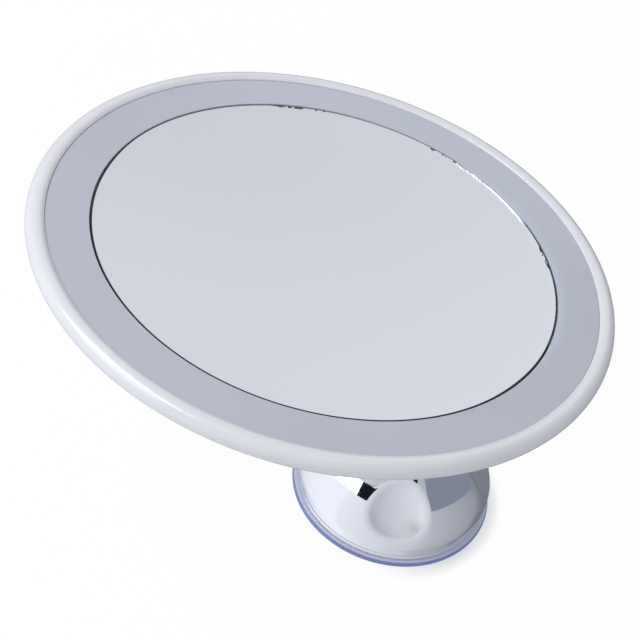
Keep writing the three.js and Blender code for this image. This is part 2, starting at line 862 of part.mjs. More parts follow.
// Ribs that stiffen the back from the flat out to the slope
function coverRibs() {
  const inner = screwCircle + wellRadius;
  const outer = coverFlatRadius + wellRadius;
  const length = outer - inner;
  const low = -coverDepth + coverWall / 2;
  const high = -coverInside + coverRibHeight;
  const rib = block(length, coverRibThickness, low, high, inner + length / 2);
  return ringOf(rib, coverRibCount, screwFirst / 2);
}

// The socket about the ball's centre, before its cup for the liners is cut
function socketBoss() {
  const top = socketRadius + socketWall;
  const back = socketDepth - coverDepth;
  const profile = [
    point(0, top),
    ...arc(0, 0, top, bossCrownFrom, bossCrownTo, 3),
    point(bossRadius, back),
    point(bossRadius, seatGap),
    point(0, seatGap),
  ];
  return turnedSolid(profile, ballSteps);
}

// The battery bay's walls and floor inside the cover, before it is hollowed
function bayBlock() {
  const width = bayWidth + 2 * (doorMargin + bayWall);
  const length = bayLength + 2 * (doorMargin + bayWall);
  return roundedBlock(width, length, bayWall, -coverDepth, -bayFloor + bayWall, bayCentreX);
}

function bayCutters() {
  const out = -coverDepth - overrun;
  const ledgeWidth = bayWidth + 2 * doorMargin;
  const ledgeLength = bayLength + 2 * doorMargin;
  const hollow = block(bayWidth, bayLength, out, -bayFloor, bayCentreX);
  const ledge = block(ledgeWidth, ledgeLength, out, -ledgeDepth, bayCentreX);
  const tongueLength = doorTongueWidth + 2 * seatGap;
  const tongueX = bayCentreX + ledgeWidth / 2;
  const tongue = block(2 * doorTongueReach, tongueLength, out, -ledgeDepth, tongueX);
  const socketRun = ledgeLength / 2 + doorTrunnion;
  const hinge = cylinder(doorTrunnionRadius + seatGap, -socketRun, socketRun, tinySteps);
  const across = hinge.rotate([90, 0, 0]).translate([doorAxisX(), 0, doorAxisZ()]);
  return [hollow, ledge, tongue, across];
}

// The door's hinge line, along Y in the middle of its rounded edge
function doorAxisX() {
  return bayCentreX - doorWidth / 2 + doorThickness / 2;
}

function doorAxisZ() {
  return -coverDepth + doorThickness / 2;
}

function screwWells() {
  const well = cylinder(wellRadius, -coverDepth + coverWall / 2, -wellTop, smallSteps, screwCircle);
  return ringOf(well, screwCount, screwFirst);
}

function screwHoles() {
  const counterbore = cylinder(
    screwHeadRadius + seatGap,
    -coverDepth - overrun,
    -screwSeat + seatGap,
    tinySteps,
    screwCircle,
  );
  const hole = cylinder(screwRadius + seatGap, -coverDepth, -wellTop + overrun, tinySteps, screwCircle);
  return [
    ...ringOf(counterbore, screwCount, screwFirst),
    ...ringOf(hole, screwCount, screwFirst),
  ];
}

function switchCutters() {
  const pocketLength = sliderLength + switchTravel + 2 * seatGap;
  const pocketWidth = sliderWidth + 2 * seatGap;
  const slotLength = sliderStemLength + switchTravel + 2 * seatGap;
  const slotWidth = sliderStemWidth + 2 * seatGap;
  const out = -coverDepth - overrun;
  return [
    block(pocketWidth, pocketLength, out, -pocketDepth, switchX),
    block(slotWidth, slotLength, out, -coverInside + overrun, switchX),
  ];
}

// Rear cover: the moulded back shell with everything that it carries
function rearCover() {
  const boss = socketBoss().translate([socketOffset, 0, -socketDepth]);
  const body = joined([coverShell(), ...coverRibs(), boss, bayBlock(), ...screwWells()]);
  const seat = new THREE.SphereGeometry(socketRadius, ballSteps, ballSteps / 2);
  seat.rotateX(Math.PI / 2).translate(socketOffset, 0, -socketDepth);
  const cutters = [solidOf(seat), ...bayCutters(), ...screwHoles(), ...switchCutters()];
  return without(body, cutters);
}

// Battery door: plate with a rounded hinge edge, trunnions, tongue, grip grooves and ribs
function batteryDoor() {
  const low = -coverDepth;
  const high = -doorInside;
  const half = doorThickness / 2;
  const plateWidth = doorWidth - half;
  const plate = block(plateWidth, doorLength, low, high, bayCentreX + half / 2);
  const edge = cylinder(half, -doorLength / 2, doorLength / 2, tinySteps).rotate([90, 0, 0]);
  const pinRun = doorLength / 2 + doorTrunnion;
  const pins = cylinder(doorTrunnionRadius, -pinRun, pinRun, tinySteps).rotate([90, 0, 0]);
  const hinge = [edge, pins].map((solid) => solid.translate([doorAxisX(), 0, doorAxisZ()]));
  const freeEdge = bayCentreX + doorWidth / 2;
  const tongueReach = 2 * (doorTongueReach - seatGap);
  const tongue = block(tongueReach, doorTongueWidth, low, high, freeEdge);
  const rib = block(doorRibWidth, bayLength / 2, high - half, high + doorRibHeight, bayCentreX);
  const ribs = [-0.5, 0.5].map((share) => rib.translate([cellPitch * share, 0, 0]));
  const grip = block(doorGripWidth, doorGripLength, low - overrun, low + doorGripDepth);
  const firstGrip = freeEdge - 2 * doorGripPitch;
  const grips = Array.from({ length: doorGripCount }, (_, n) => {
    return grip.translate([firstGrip - n * doorGripPitch, 0, 0]);
  });
  return without(joined([plate, ...hinge, tongue, ...ribs]), grips);
}

// One cell along Y, its nub towards +Y
function batteryCell() {
  const body = cellLength - cellNubHeight;
  const profile = [
    point(0, 0),
    point(cellRadius - cellShoulder, 0),
    point(cellRadius, cellShoulder),
    point(cellRadius, body - cellShoulder),
    point(cellRadius - cellShoulder, body),
    point(cellNubRadius, body),
    point(cellNubRadius, cellLength),
    point(0, cellLength),
  ];
  return turnedSolid(profile, smallSteps).rotate([-90, 0, 0]);
}

// Where each cell's flat end lies, and which way its nub points
function cellPlace(n) {
  const way = n % 2 === 0 ? 1 : -1;
  const x = bayCentreX + (n - (cellCount - 1) / 2) * cellPitch;
  const y = way * (nubFace - cellLength);
  return { way, x, y };
}

function placedCell(n) {
  const { way, x, y } = cellPlace(n);
  const turnedCell = way > 0 ? batteryCell() : spun(batteryCell(), 180);
  return turnedCell.translate([x, y, -cellDepth]);
}

// A flat contact on the bay's end wall, on the given side
function contactPlate(side, x, width) {
  const y = side * (bayLength / 2 - seatGap - contactThickness / 2);
  const half = contactWidth / 2;
  return block(width, contactThickness, -cellDepth - half, -cellDepth + half, x, y);
}

// A conical spring that stands on its plate and narrows towards the cell
class SpringCurve extends THREE.Curve {
  constructor(side, x) {
    super();
    this.side = side;
    this.x = x;
  }
  getPoint(t, target = new THREE.Vector3()) {
    const radius = THREE.MathUtils.lerp(springRadius, springTipRadius, t);
    const turn = 2 * Math.PI * springTurns * t;
    const y = this.side * (springBase - springLength * t);
    return target.set(this.x + radius * Math.cos(turn), y, -cellDepth + radius * Math.sin(turn));
  }
}

function tube(curve, radius, sides, steps) {
  const section = new THREE.Shape();
  section.absarc(0, 0, radius, 0, 2 * Math.PI);
  const points = section.getSpacedPoints(sides).slice(0, sides);
  const options = { steps, bevelEnabled: false, extrudePath: curve };
  return solidOf(new THREE.ExtrudeGeometry(new THREE.Shape(points), options));
}

function contactSpring(side, x) {
  return tube(new SpringCurve(side, x), springWire, 5, 8 * springTurns);
}

function cellX(n) {
  return cellPlace(n).x;
}

// Single contacts at the ends of the chain of cells, bridges between neighbours
function contactNegative() {
  return contactPlate(-1, cellX(0), contactWidth).add(contactSpring(-1, cellX(0)));
}

function contactPositive() {
  return contactPlate(1, cellX(2), contactWidth);
}

function contactBridge(n) {
  const side = n % 2 === 0 ? 1 : -1;
  const middle = (cellX(n) + cellX(n + 1)) / 2;
  const plate = contactPlate(side, middle, cellPitch + contactWidth);
  return plate.add(contactSpring(side, cellX(n + 1)));
}

function caseScrew() {
  const seat = -screwSeat;
  const head = cylinder(screwHeadRadius, seat - screwHeadHeight, seat, tinySteps);
  const shankTop = -trayFoot;
  const shank = cylinder(screwRadius, seat - screwHeadHeight / 2, shankTop, tinySteps);
  return head.add(shank).translate([screwCircle, 0, 0]);
}

// The slider at rest stands at one end of its travel
function switchSlider() {
  const y = -switchTravel / 2;
  const knobLow = -sliderDepth;
  const knobHigh = knobLow + sliderHeight;
  const knob = block(sliderWidth, sliderLength, knobLow, knobHigh, switchX, y);
  const stemHigh = knobHigh + sliderStemDepth;
  const stem = block(sliderStemWidth, sliderStemLength, knobHigh - sliderHeight / 2, stemHigh, switchX, y);
  const ridgePitch = 2 * sliderRidgeWidth;
  const grooves = Array.from({ length: sliderRidgeCount }, (_, n) => {
    const shift = (n - (sliderRidgeCount - 1) / 2) * ridgePitch;
    const low = knobLow - overrun;
    const high = knobLow + sliderRidgeDepth;
    return block(sliderWidth + overrun, sliderRidgeWidth, low, high, switchX, y + shift);
  });
  return without(knob.add(stem), grooves);
}

function switchBody() {
  const low = -coverInside + seatGap;
  const high = low + switchBodyHeight;
  const body = block(switchBodyWidth, switchBodyLength, low, high, switchX);
  const channelLength = sliderStemLength + switchTravel + 2 * seatGap;
  const channelWidth = sliderStemWidth + 2 * seatGap;
  const channelHigh = -sliderDepth + sliderHeight + sliderStemDepth + seatGap;
  return body.subtract(block(channelWidth, channelLength, low - overrun, channelHigh, switchX));
}

function wire(points) {
  const curve = new THREE.CatmullRomCurve3(points);
  return tube(curve, wireRadius, wireSides, wireSteps);
}

// The leads run in the room between the bay's outside, the back wall and the tray
const wireLevel = (trayFoot + coverInside) / 2;
const bayEndOutside = bayLength / 2 + doorMargin + bayWall;
const baySideOutside = bayCentreX - bayWidth / 2 - doorMargin - bayWall;
const wireOff = 3 * wireRadius; // how far a lead keeps from what it passes

function wireBattery() {
  const start = bayEndOutside + wireRadius + seatGap;
  return wire([
    new THREE.Vector3(cellX(2), start, -wireLevel),
    new THREE.Vector3(cellX(1), start + wireOff, -wireLevel),
    new THREE.Vector3(baySideOutside - wireOff, start, -wireLevel),
    new THREE.Vector3(switchX + switchBodyWidth / 2 + wireOff, switchBodyLength, -wireLevel),
    new THREE.Vector3(switchX, switchBodyLength / 2 + wireRadius, -wireLevel),
  ]);
}

function wireSwitch() {
  const start = switchX - switchBodyWidth / 2 - seatGap;
  return wire([
    new THREE.Vector3(start, 0, -wireLevel),
    new THREE.Vector3((start + wireHoleX) / 2, wireOff / 2, -wireLevel),
    new THREE.Vector3(wireHoleX + wireOff, wireRadius + seatGap, -trayFoot - wireOff),
    new THREE.Vector3(wireHoleX, wireRadius + seatGap / 2, -trayFoot),
    new THREE.Vector3(wireHoleX, wireRadius + seatGap / 2, -trayFloor),
  ]);
}

function wireReturn() {
  const start = -bayEndOutside - wireRadius - seatGap;
  return wire([
    new THREE.Vector3(cellX(0), start, -wireLevel),
    new THREE.Vector3(baySideOutside - wireOff, start, -wireLevel),
    new THREE.Vector3(switchX, -switchBodyLength, -wireLevel),
    new THREE.Vector3((switchX + wireHoleX) / 2, -switchBodyLength / 2, -wireLevel),
    new THREE.Vector3(wireHoleX + wireOff, -wireRadius - seatGap, -trayFoot - wireOff),
    new THREE.Vector3(wireHoleX, -wireRadius - seatGap / 2, -trayFoot),
    new THREE.Vector3(wireHoleX, -wireRadius - seatGap / 2, -trayFloor),
  ]);
}

// Finishes
function finish(color, roughness, metalness = 0) {
  return { color, roughness, metalness };
}

const clearBlue = finish(0xa9b4dc, 0.12);
const whiteGloss = finish(0xf1f1f4, 0.18);
const whiteSatin = finish(0xe9eaee, 0.45);
const frosted = finish(0xc3c7d3, 0.6);
const silvered = finish(0xd6dae3, 0.02, 1);
const chrome = finish(0xd9dce2, 0.06, 1);
const steel = finish(0xb9bcc2, 0.3, 1);
const nylon = finish(0xdedbd2, 0.5);
const foam = finish(0x2b2c2f, 0.9);
const board = finish(0xe6ead9, 0.5);
const switchBlack = finish(0x1c1d20, 0.4);
const cellWrap = finish(0x3b5d50, 0.35);
const redWire = finish(0xb3231f, 0.5);
const blackWire = finish(0x202022, 0.5);

function addTo(group, name, solid, look) {
  const material = new THREE.MeshStandardMaterial(look);
  const mesh = new THREE.Mesh(geometryOf(solid), material);
  mesh.name = name;
  group.add(mesh);
}

const group = new THREE.Group();

const base = new THREE.Group();
addTo(base, "suction_cup", suctionCup(), clearBlue);
addTo(base, "pull_stud", pullStud(), nylon);
addTo(base, "cross_pin", crossPin(), steel);
addTo(base, "pressure_bell", pressureBell(), whiteSatin);
addTo(base, "cam_ring", camRing(), nylon);
addTo(base, "twist_dome", twistDome(), chrome);
addTo(base, "slip_washer", slipWasher(), nylon);
addTo(base, "ball_stem", ballStem(), chrome);
group.add(base);

const ball = new THREE.Group();
ball.position.set(0, 0, ballHeight);
addTo(ball, "ball_liner", ballLiner(), nylon);
group.add(ball);

// The head turns about the ball, leaning towards its tilt direction
const head = new THREE.Group();
const leanAxis = new THREE.Vector3(0, 1, 0).applyAxisAngle(
  new THREE.Vector3(0, 0, 1),
  angle(headTiltDirection),
);
head.quaternion.setFromAxisAngle(leanAxis, angle(headTilt));
ball.add(head);
addTo(head, "liner_ring", linerRing(), nylon);
addTo(head, "clamp_nut", clampNut(), whiteGloss);

const face = new THREE.Group();
face.position.set(-socketOffset, 0, socketDepth);
head.add(face);
addTo(face, "front_bezel", frontBezel(), whiteGloss);
addTo(face, "diffuser_ring", diffuserRing(), frosted);
addTo(face, "mirror_glass", mirrorGlass(), silvered);
addTo(face, "mirror_pad", mirrorPad(), foam);
addTo(face, "light_tray", lightTray(), whiteSatin);
addTo(face, "led_board", ledBoard(), board);
addTo(face, "rear_cover", rearCover(), whiteGloss);
addTo(face, "battery_door", batteryDoor(), whiteGloss);
for (let n = 0; n < cellCount; n++) {
  addTo(face, "battery_" + (n + 1), placedCell(n), cellWrap);
}
addTo(face, "contact_negative", contactNegative(), steel);
addTo(face, "contact_bridge_1", contactBridge(0), steel);
addTo(face, "contact_bridge_2", contactBridge(1), steel);
addTo(face, "contact_positive", contactPositive(), steel);
ringOf(caseScrew(), screwCount, screwFirst).forEach((screw, n) => {
  addTo(face, "case_screw_" + (n + 1), screw, steel);
});
addTo(face, "switch_body", switchBody(), switchBlack);
addTo(face, "switch_slider", switchSlider(), switchBlack);
addTo(face, "wire_battery", wireBattery(), redWire);
addTo(face, "wire_switch", wireSwitch(), redWire);
addTo(face, "wire_return", wireReturn(), blackWire);

export default group;
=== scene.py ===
"""A lighted round makeup mirror on a ball joint, with a twist-lock suction base."""

import json
import math

import bpy
import numpy as np
from mathutils import Matrix, Vector


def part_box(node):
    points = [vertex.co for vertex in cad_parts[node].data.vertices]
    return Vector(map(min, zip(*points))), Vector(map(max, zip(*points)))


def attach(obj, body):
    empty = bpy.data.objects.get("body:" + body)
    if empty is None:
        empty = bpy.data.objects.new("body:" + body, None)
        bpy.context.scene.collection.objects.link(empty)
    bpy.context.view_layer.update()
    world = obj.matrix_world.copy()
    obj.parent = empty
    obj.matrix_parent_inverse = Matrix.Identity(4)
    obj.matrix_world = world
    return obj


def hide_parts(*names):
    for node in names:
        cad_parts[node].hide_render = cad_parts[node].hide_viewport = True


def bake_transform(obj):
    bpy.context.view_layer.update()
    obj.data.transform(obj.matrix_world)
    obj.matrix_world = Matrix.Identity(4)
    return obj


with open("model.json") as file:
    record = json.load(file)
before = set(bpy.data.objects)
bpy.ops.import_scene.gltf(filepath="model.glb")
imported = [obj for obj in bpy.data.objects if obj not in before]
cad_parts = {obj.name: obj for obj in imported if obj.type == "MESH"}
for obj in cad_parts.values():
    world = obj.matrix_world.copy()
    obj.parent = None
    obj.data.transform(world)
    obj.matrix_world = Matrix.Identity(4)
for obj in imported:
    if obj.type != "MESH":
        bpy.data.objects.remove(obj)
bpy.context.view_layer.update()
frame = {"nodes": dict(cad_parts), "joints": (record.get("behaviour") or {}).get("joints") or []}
bpy.ops.object.select_all(action="DESELECT")

# Studio
# A white sweep under even light, with a soft box at the upper left and a painted shadow on
# the sweep beside the base. Metal sees a room of its own, bright at the left and dark at the
# right, and four cards that only it shows.


class Value:
    """A number that changes over a surface. Sums with it add Math nodes to its recipe."""

    def __init__(self, recipe, socket):
        self.recipe = recipe
        self.socket = socket

    def math(self, operation, *inputs):
        settings = {"operation": operation}
        return self.recipe.node("ShaderNodeMath", settings, dict(enumerate(inputs)), 0)

    def __add__(self, other):
        return self.math("ADD", self, other)

    def __radd__(self, other):
        return self.math("ADD", other, self)

    def __rsub__(self, other):
        return self.math("SUBTRACT", other, self)

    def __mul__(self, other):
        return self.math("MULTIPLY", self, other)

    def __rmul__(self, other):
        return self.math("MULTIPLY", other, self)

    def ramp(self, low, high):
        """0 up to low and 1 from high on, smooth between"""
        settings = {"interpolation_type": "SMOOTHSTEP"}
        inputs = {"Value": self, "From Min": low, "From Max": high}
        return self.recipe.node("ShaderNodeMapRange", settings, inputs, "Result")


class Recipe:
    """The nodes of one material, or of the world"""

    def __init__(self, block):
        block.use_nodes = True
        self.block = block
        self.tree = block.node_tree
        self.tree.nodes.clear()

    def node(self, kind, settings, inputs, output=None):
        """Adds a node and gives one of its outputs"""
        made = self.tree.nodes.new(kind)
        for name, setting in settings.items():
            setattr(made, name, setting)
        for name, value in inputs.items():
            if isinstance(value, Value):
                self.tree.links.new(value.socket, made.inputs[name])
            else:
                made.inputs[name].default_value = value
        return None if output is None else Value(self, made.outputs[output])

    def blend(self, factor, first, second):
        """A colour between two"""
        inputs = {0: factor, 6: first, 7: second}
        return self.node("ShaderNodeMix", {"data_type": "RGBA"}, inputs, 2)

    def ray(self, *kinds):
        """1 for these kinds of ray, 0 for the others"""
        found = [self.node("ShaderNodeLightPath", {}, {}, kind) for kind in kinds]
        total = sum(found[1:], found[0])
        return total.math("MINIMUM", total, 1)

    def along(self, axis, vector):
        """A vector's part along X, Y or Z"""
        return self.node("ShaderNodeSeparateXYZ", {}, {"Vector": vector}, axis)

    def vector(self, operation, *inputs, output="Value"):
        settings = {"operation": operation}
        return self.node("ShaderNodeVectorMath", settings, dict(enumerate(inputs)), output)

    def place(self):
        """Where a point of the surface lies, in metres from the origin"""
        return self.node("ShaderNodeTexCoord", {}, {}, "Object")


def tone(red, green, blue):
    """The linear colour of a tone that is read off a screen, each part from 0 to 255"""
    parts = []
    for part in (red, green, blue):
        share = part / 255
        parts.append(share / 12.92 if share < 0.04 else ((share + 0.055) / 1.055) ** 2.4)
    return (*parts, 1)


camera_data = bpy.data.cameras.new("camera")
camera_data.sensor_width = 36
camera_data.lens = 95.625
camera = bpy.data.objects.new("camera", camera_data)
camera_right = (0.9493, 0.26332, 0.17171)
camera_up = (-0.30687, 0.65773, 0.68791)
camera_back = (0.0682, -0.70573, 0.70519)
camera_place = (-0.00055, -0.412405, 0.483873)
camera_columns = (camera_right, camera_up, camera_back, camera_place)
camera_rows = [[column[row] for column in camera_columns] for row in range(3)]
camera.matrix_world = Matrix(camera_rows + [[0, 0, 0, 1]])
bpy.context.scene.collection.objects.link(camera)
bpy.context.scene.camera = camera
bpy.context.scene.view_settings.view_transform = "Standard"

# What the tint adds to red, green and blue, and the grey at each azimuth in degrees
gleam_tint = (-4, 0, 9)
gleam_shades = (
    (-180, 241),
    (-158, 247),
    (-137, 247),
    (-131, 237),
    (-95, 221),
    (-45, 200),
    (-30, 182),
    (0, 167),
    (20, 152),
    (30, 129),
    (42, 121),
    (95, 124),
    (140, 215),
    (180, 241),
)


def gleam(recipe, heading):
    """The tint that metal shows of the room round about, along a heading"""
    x = recipe.along("X", heading)
    y = recipe.along("Y", heading)
    around = y.math("ARCTAN2", y, x) * (1 / math.tau) + 0.5
    shades = recipe.node("ShaderNodeValToRGB", {}, {"Fac": around}, "Color")
    stops = shades.socket.node.color_ramp.elements
    stops.remove(stops[1])
    for azimuth, shade in gleam_shades:
        place = azimuth / 360 + 0.5
        stop = stops.new(place) if place > 0 else stops[0]
        stop.color = tone(*[shade + part for part in gleam_tint])
    return shades


world = bpy.data.worlds.new("room")
bpy.context.scene.world = world
room = Recipe(world)
white = (1, 1, 1, 1)
room_light = (0.6, 0.605, 0.62, 1)
look = room.node("ShaderNodeTexCoord", {}, {}, "Generated")
look_back = room.along("Y", look).ramp(0.62, 0.78)
look_right = room.along("X", look).ramp(-0.05, 0.02)
look_aside = room.along("X", look).ramp(0.25, 0.4)
look_high = room.along("Z", look).ramp(0.3, 0.42)
look_up = room.along("Z", look).ramp(0.48, 0.62)
overhead = room.along("Z", look).ramp(0.88, 0.96)
back_paint = room.blend(look_up, tone(226, 226, 232), tone(214, 217, 223))
back_paint = room.blend(look_right, back_paint, tone(229, 230, 236))
reflected = room.blend(look_back * look_high * (1 - look_aside), gleam(room, look), back_paint)
reflected = room.blend(overhead, reflected, tone(222, 224, 229))
seen_room = room.blend(room.ray("Is Camera Ray", "Is Transmission Ray"), room_light, white)
seen_room = room.blend(room.ray("Is Glossy Ray"), seen_room, reflected)
room_shader = room.node("ShaderNodeBackground", {}, {"Color": seen_room}, "Background")
room.node("ShaderNodeOutputWorld", {}, {"Surface": room_shader})

# Metal looks through the floor at the room, so that its shade follows the direction
floor_size = 6
floor_drop = 0.0002
bpy.ops.mesh.primitive_plane_add(size=floor_size, location=(0, 0, -floor_drop))
floor = bpy.context.object
floor.name = "floor"
floor.visible_glossy = False
sweep = Recipe(bpy.data.materials.new("sweep"))
# Painted shadow: the floor's glow is cut back beside the base on its right, so it reads darker
painted_shadow_start = 0.0372
painted_shadow_end = 0.043
painted_shadow_right = 0.03
painted_shadow_share = 0.4
glow_share = 0.96
floor_place = sweep.place()
painted_shadow = 1 - sweep.vector("LENGTH", floor_place).ramp(painted_shadow_start, painted_shadow_end)
painted_shadow = painted_shadow * sweep.along("X", floor_place).ramp(0, painted_shadow_right)
lit_share = (glow_share - painted_shadow_share * painted_shadow) * sweep.ray("Is Camera Ray", "Is Transmission Ray")
paper = sweep.node("ShaderNodeBsdfDiffuse", {}, {"Color": tone(242, 243, 246)}, "BSDF")
lit = sweep.node("ShaderNodeEmission", {}, {"Color": white}, "Emission")
floor_shader = sweep.node("ShaderNodeMixShader", {}, {0: lit_share, 1: paper, 2: lit}, "Shader")
sweep.node("ShaderNodeOutputMaterial", {}, {"Surface": floor_shader})
floor.data.materials.append(sweep.block)

soft_box_place = (-0.9, -0.35, 1.1)
soft_box_data = bpy.data.lights.new("soft_box", "AREA")
soft_box_data.size = 0.9
soft_box_data.energy = 11
soft_box = bpy.data.objects.new("soft_box", soft_box_data)
soft_box.location = soft_box_place
soft_box.rotation_euler = (-Vector(soft_box_place)).to_track_quat("-Z", "Y").to_euler()
bpy.context.scene.collection.objects.link(soft_box)

shoulder = Vector((-0.008, -0.026, 0.024))
far_reach = 1.3
near_reach = 0.42
black = tone(22, 26, 35)
bright = (2.2, 2.2, 2.2, 1)
plane_order = (0, 1, 3, 2)


def card(name, shade, reach, corners):
    """A studio card that only the metal shows. Its corners are directions in degrees,
    azimuth and height, in which the dome's shoulder sees them."""
    bpy.ops.mesh.primitive_plane_add(size=reach)
    made = bpy.context.object
    made.name = name
    for vertex, corner in zip(plane_order, corners):
        around, above = (math.radians(angle) for angle in corner)
        heading = Vector((math.cos(around), math.sin(around), math.tan(above))).normalized()
        made.data.vertices[vertex].co = shoulder + reach * heading
    paint = Recipe(bpy.data.materials.new(name))
    glow = paint.node("ShaderNodeEmission", {}, {"Color": shade}, "Emission")
    paint.node("ShaderNodeOutputMaterial", {}, {"Surface": glow})
    made.data.materials.append(paint.block)
    for kind in ("camera", "diffuse", "transmission", "shadow", "volume_scatter"):
        setattr(made, "visible_" + kind, False)


card("black_card", black, far_reach, ((-125.5, 29), (-106, 31), (-90, 43), (-132, 43)))
card("corner_card", black, far_reach, ((-48, 52), (-37, 53), (-31, 59), (-53, 61)))
card("white_card", bright, far_reach, ((-158, 20), (-126, 30), (-141, 57), (-166, 44)))
card("blue_card", tone(128, 135, 152), near_reach, ((-34, 24), (23, 4), (42, 20), (-14, 57)))

# Suction cup
# A soft disc of clear PVC with a blue tint, moulded in one piece with its bevelled rim and
# the boss round the stud's foot. Its edge gathers the tint, and its face reads paler.
cup_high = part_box("suction_cup")[1]
cup_radius = cup_high.x
cup_top_radius = 0.0364
cup_edge = 0.0023
cup_widest = 0.0008
cup_boss_radius = 0.0115
cup_fillet = 0.0022
cup_ease = 0.0002
cup_cloud_size = 0.012
cup_relief = 0.0001
foot_low = 0.0022
foot_top = 0.0044
foot_radius = 0.0083
throat_radius = 0.0042
seal_grooves = (0.0285, 0.031, 0.0335)
groove_half = 0.0004
groove_depth = 0.00025
face_low = 0.00212
face_high = 0.00228
weld_reach = 1e-6


def turned(name, outline, steps):
    """A body of revolution about Z: a vertex is extruded along the outline and spun"""
    bpy.ops.object.select_all(action="DESELECT")
    bpy.ops.mesh.primitive_plane_add()
    piece = bpy.context.object
    piece.name = name
    bpy.ops.object.mode_set(mode="EDIT")
    bpy.ops.mesh.select_all(action="SELECT")
    bpy.ops.mesh.merge(type="CENTER")
    bpy.ops.transform.translate(value=(outline[0][0], 0, outline[0][1]))
    for (x0, z0), (x1, z1) in zip(outline, outline[1:]):
        move = {"value": (x1 - x0, 0, z1 - z0)}
        bpy.ops.mesh.extrude_region_move(TRANSFORM_OT_translate=move)
    bpy.ops.mesh.select_all(action="SELECT")
    bpy.ops.mesh.spin(steps=steps, angle=math.tau, center=(0, 0, 0), axis=(0, 0, 1))
    bpy.ops.mesh.select_all(action="SELECT")
    bpy.ops.mesh.remove_doubles(threshold=weld_reach)
    bpy.ops.mesh.normals_make_consistent(inside=False)
    bpy.ops.object.mode_set(mode="OBJECT")
    return piece


def arc(centre, radius, start, end, steps):
    """Points of an arc about a centre in the outline's plane, angles in degrees"""
    angles = [math.radians(start + (end - start) * n / steps) for n in range(steps + 1)]
    return [(centre[0] + radius * math.cos(a), centre[1] + radius * math.sin(a)) for a in angles]


def eased(piece, width, segments=3, angle=35):
    """Rounds the edges sharper than an angle in degrees. The rest is shaded smooth, and
    large flat faces keep their own normals."""
    bpy.ops.object.select_all(action="DESELECT")
    piece.select_set(True)
    bpy.context.view_layer.objects.active = piece
    bevel = piece.modifiers.new("edge", "BEVEL")
    bevel.width = width
    bevel.segments = segments
    bevel.limit_method = "ANGLE"
    bevel.angle_limit = math.radians(angle)
    bevel.harden_normals = False
    bpy.ops.object.modifier_apply(modifier=bevel.name)
    bpy.ops.object.shade_smooth_by_angle(angle=math.radians(angle))
    flat = piece.modifiers.new("flat", "WEIGHTED_NORMAL")
    flat.keep_sharp = True
    bpy.ops.object.modifier_apply(modifier=flat.name)
    return piece


def finish(slot):
    """The empty recipe of a finish that the record names"""
    recipe = Recipe(bpy.data.materials.new(slot))
    recipe.slot = slot
    return recipe


def surface(recipe, **inputs):
    """The material's one shader. Names are its sockets, with _ for a space."""
    sockets = {name.replace("_", " "): value for name, value in inputs.items()}
    shader = recipe.node("ShaderNodeBsdfPrincipled", {}, sockets, "BSDF")
    recipe.node("ShaderNodeOutputMaterial", {}, {"Surface": shader})


def noise(recipe, size, detail=2):
    """Soft blotches of a size in metres, from 0 to 1"""
    inputs = {"Vector": recipe.place(), "Scale": 1 / size, "Detail": detail}
    return recipe.node("ShaderNodeTexNoise", {}, inputs, "Fac")


def bump(recipe, relief, depth):
    """Normals for a relief that is a depth in metres deep"""
    inputs = {"Height": relief, "Distance": depth}
    return recipe.node("ShaderNodeBump", {}, inputs, "Normal")


def fitted(piece, recipe, body, *nodes):
    """Gives a finished piece its material and its body, and hides the solids that it stands for"""
    piece.data.materials.clear()
    piece.data.materials.append(recipe.block)
    if body:
        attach(piece, body)
    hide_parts(*nodes)


cup_outline = [(0, 0)]
for radius in seal_grooves:
    cup_outline += [(radius - groove_half, 0), (radius, groove_depth), (radius + groove_half, 0)]
cup_outline += [(cup_top_radius, 0), (cup_radius, cup_widest), (cup_top_radius, cup_edge)]
fillet_centre = (cup_boss_radius + cup_fillet, cup_edge + cup_fillet)
cup_outline += arc(fillet_centre, cup_fillet, 270, 180, steps=8)
cup_outline += [(cup_boss_radius, cup_high.z), (throat_radius, cup_high.z), (throat_radius, foot_top)]
cup_outline += [(foot_radius, foot_top), (foot_radius, foot_low), (0, foot_low)]
suction_cup = eased(turned("clear_cup", cup_outline, steps=160), cup_ease, angle=25)
clear_pvc = finish("clear_pvc")
cup_face = clear_pvc.along("Z", clear_pvc.place()).ramp(face_low, face_high)
cup_cloud = noise(clear_pvc, cup_cloud_size, detail=3)
cup_blue = clear_pvc.blend(cup_cloud, tone(122, 136, 196), tone(136, 151, 208))
cup_pale = clear_pvc.blend(cup_cloud, tone(212, 217, 238), tone(220, 225, 243))
surface(
    clear_pvc,
    Base_Color=clear_pvc.blend(cup_face, cup_blue, cup_pale),
    Roughness=0.12 + 0.06 * cup_cloud,
    IOR=1.52,
    Normal=bump(clear_pvc, cup_cloud, cup_relief),
)
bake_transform(suction_cup)
fitted(suction_cup, clear_pvc, None, "suction_cup")

# Stud, pin, bell and cam
# The works under the dome: moulded nylon stud and cam, a turned steel pin and the white
# pressure bell. None shows from outside, so the frame's own solids stay, with a finish.
nylon_grain_size = 0.0008
nylon_cloud_size = 0.006
nylon_relief = 0.00002
steel_grain_size = 0.0006
steel_cloud_size = 0.004
steel_relief = 0.000006
satin_grain_size = 0.0005
satin_cloud_size = 0.015
satin_relief = 0.00001


def kept(recipe, *nodes):
    """Gives solids of the frame their material"""
    for node in nodes:
        for slot in frame["nodes"][node].material_slots:
            slot.material = recipe.block


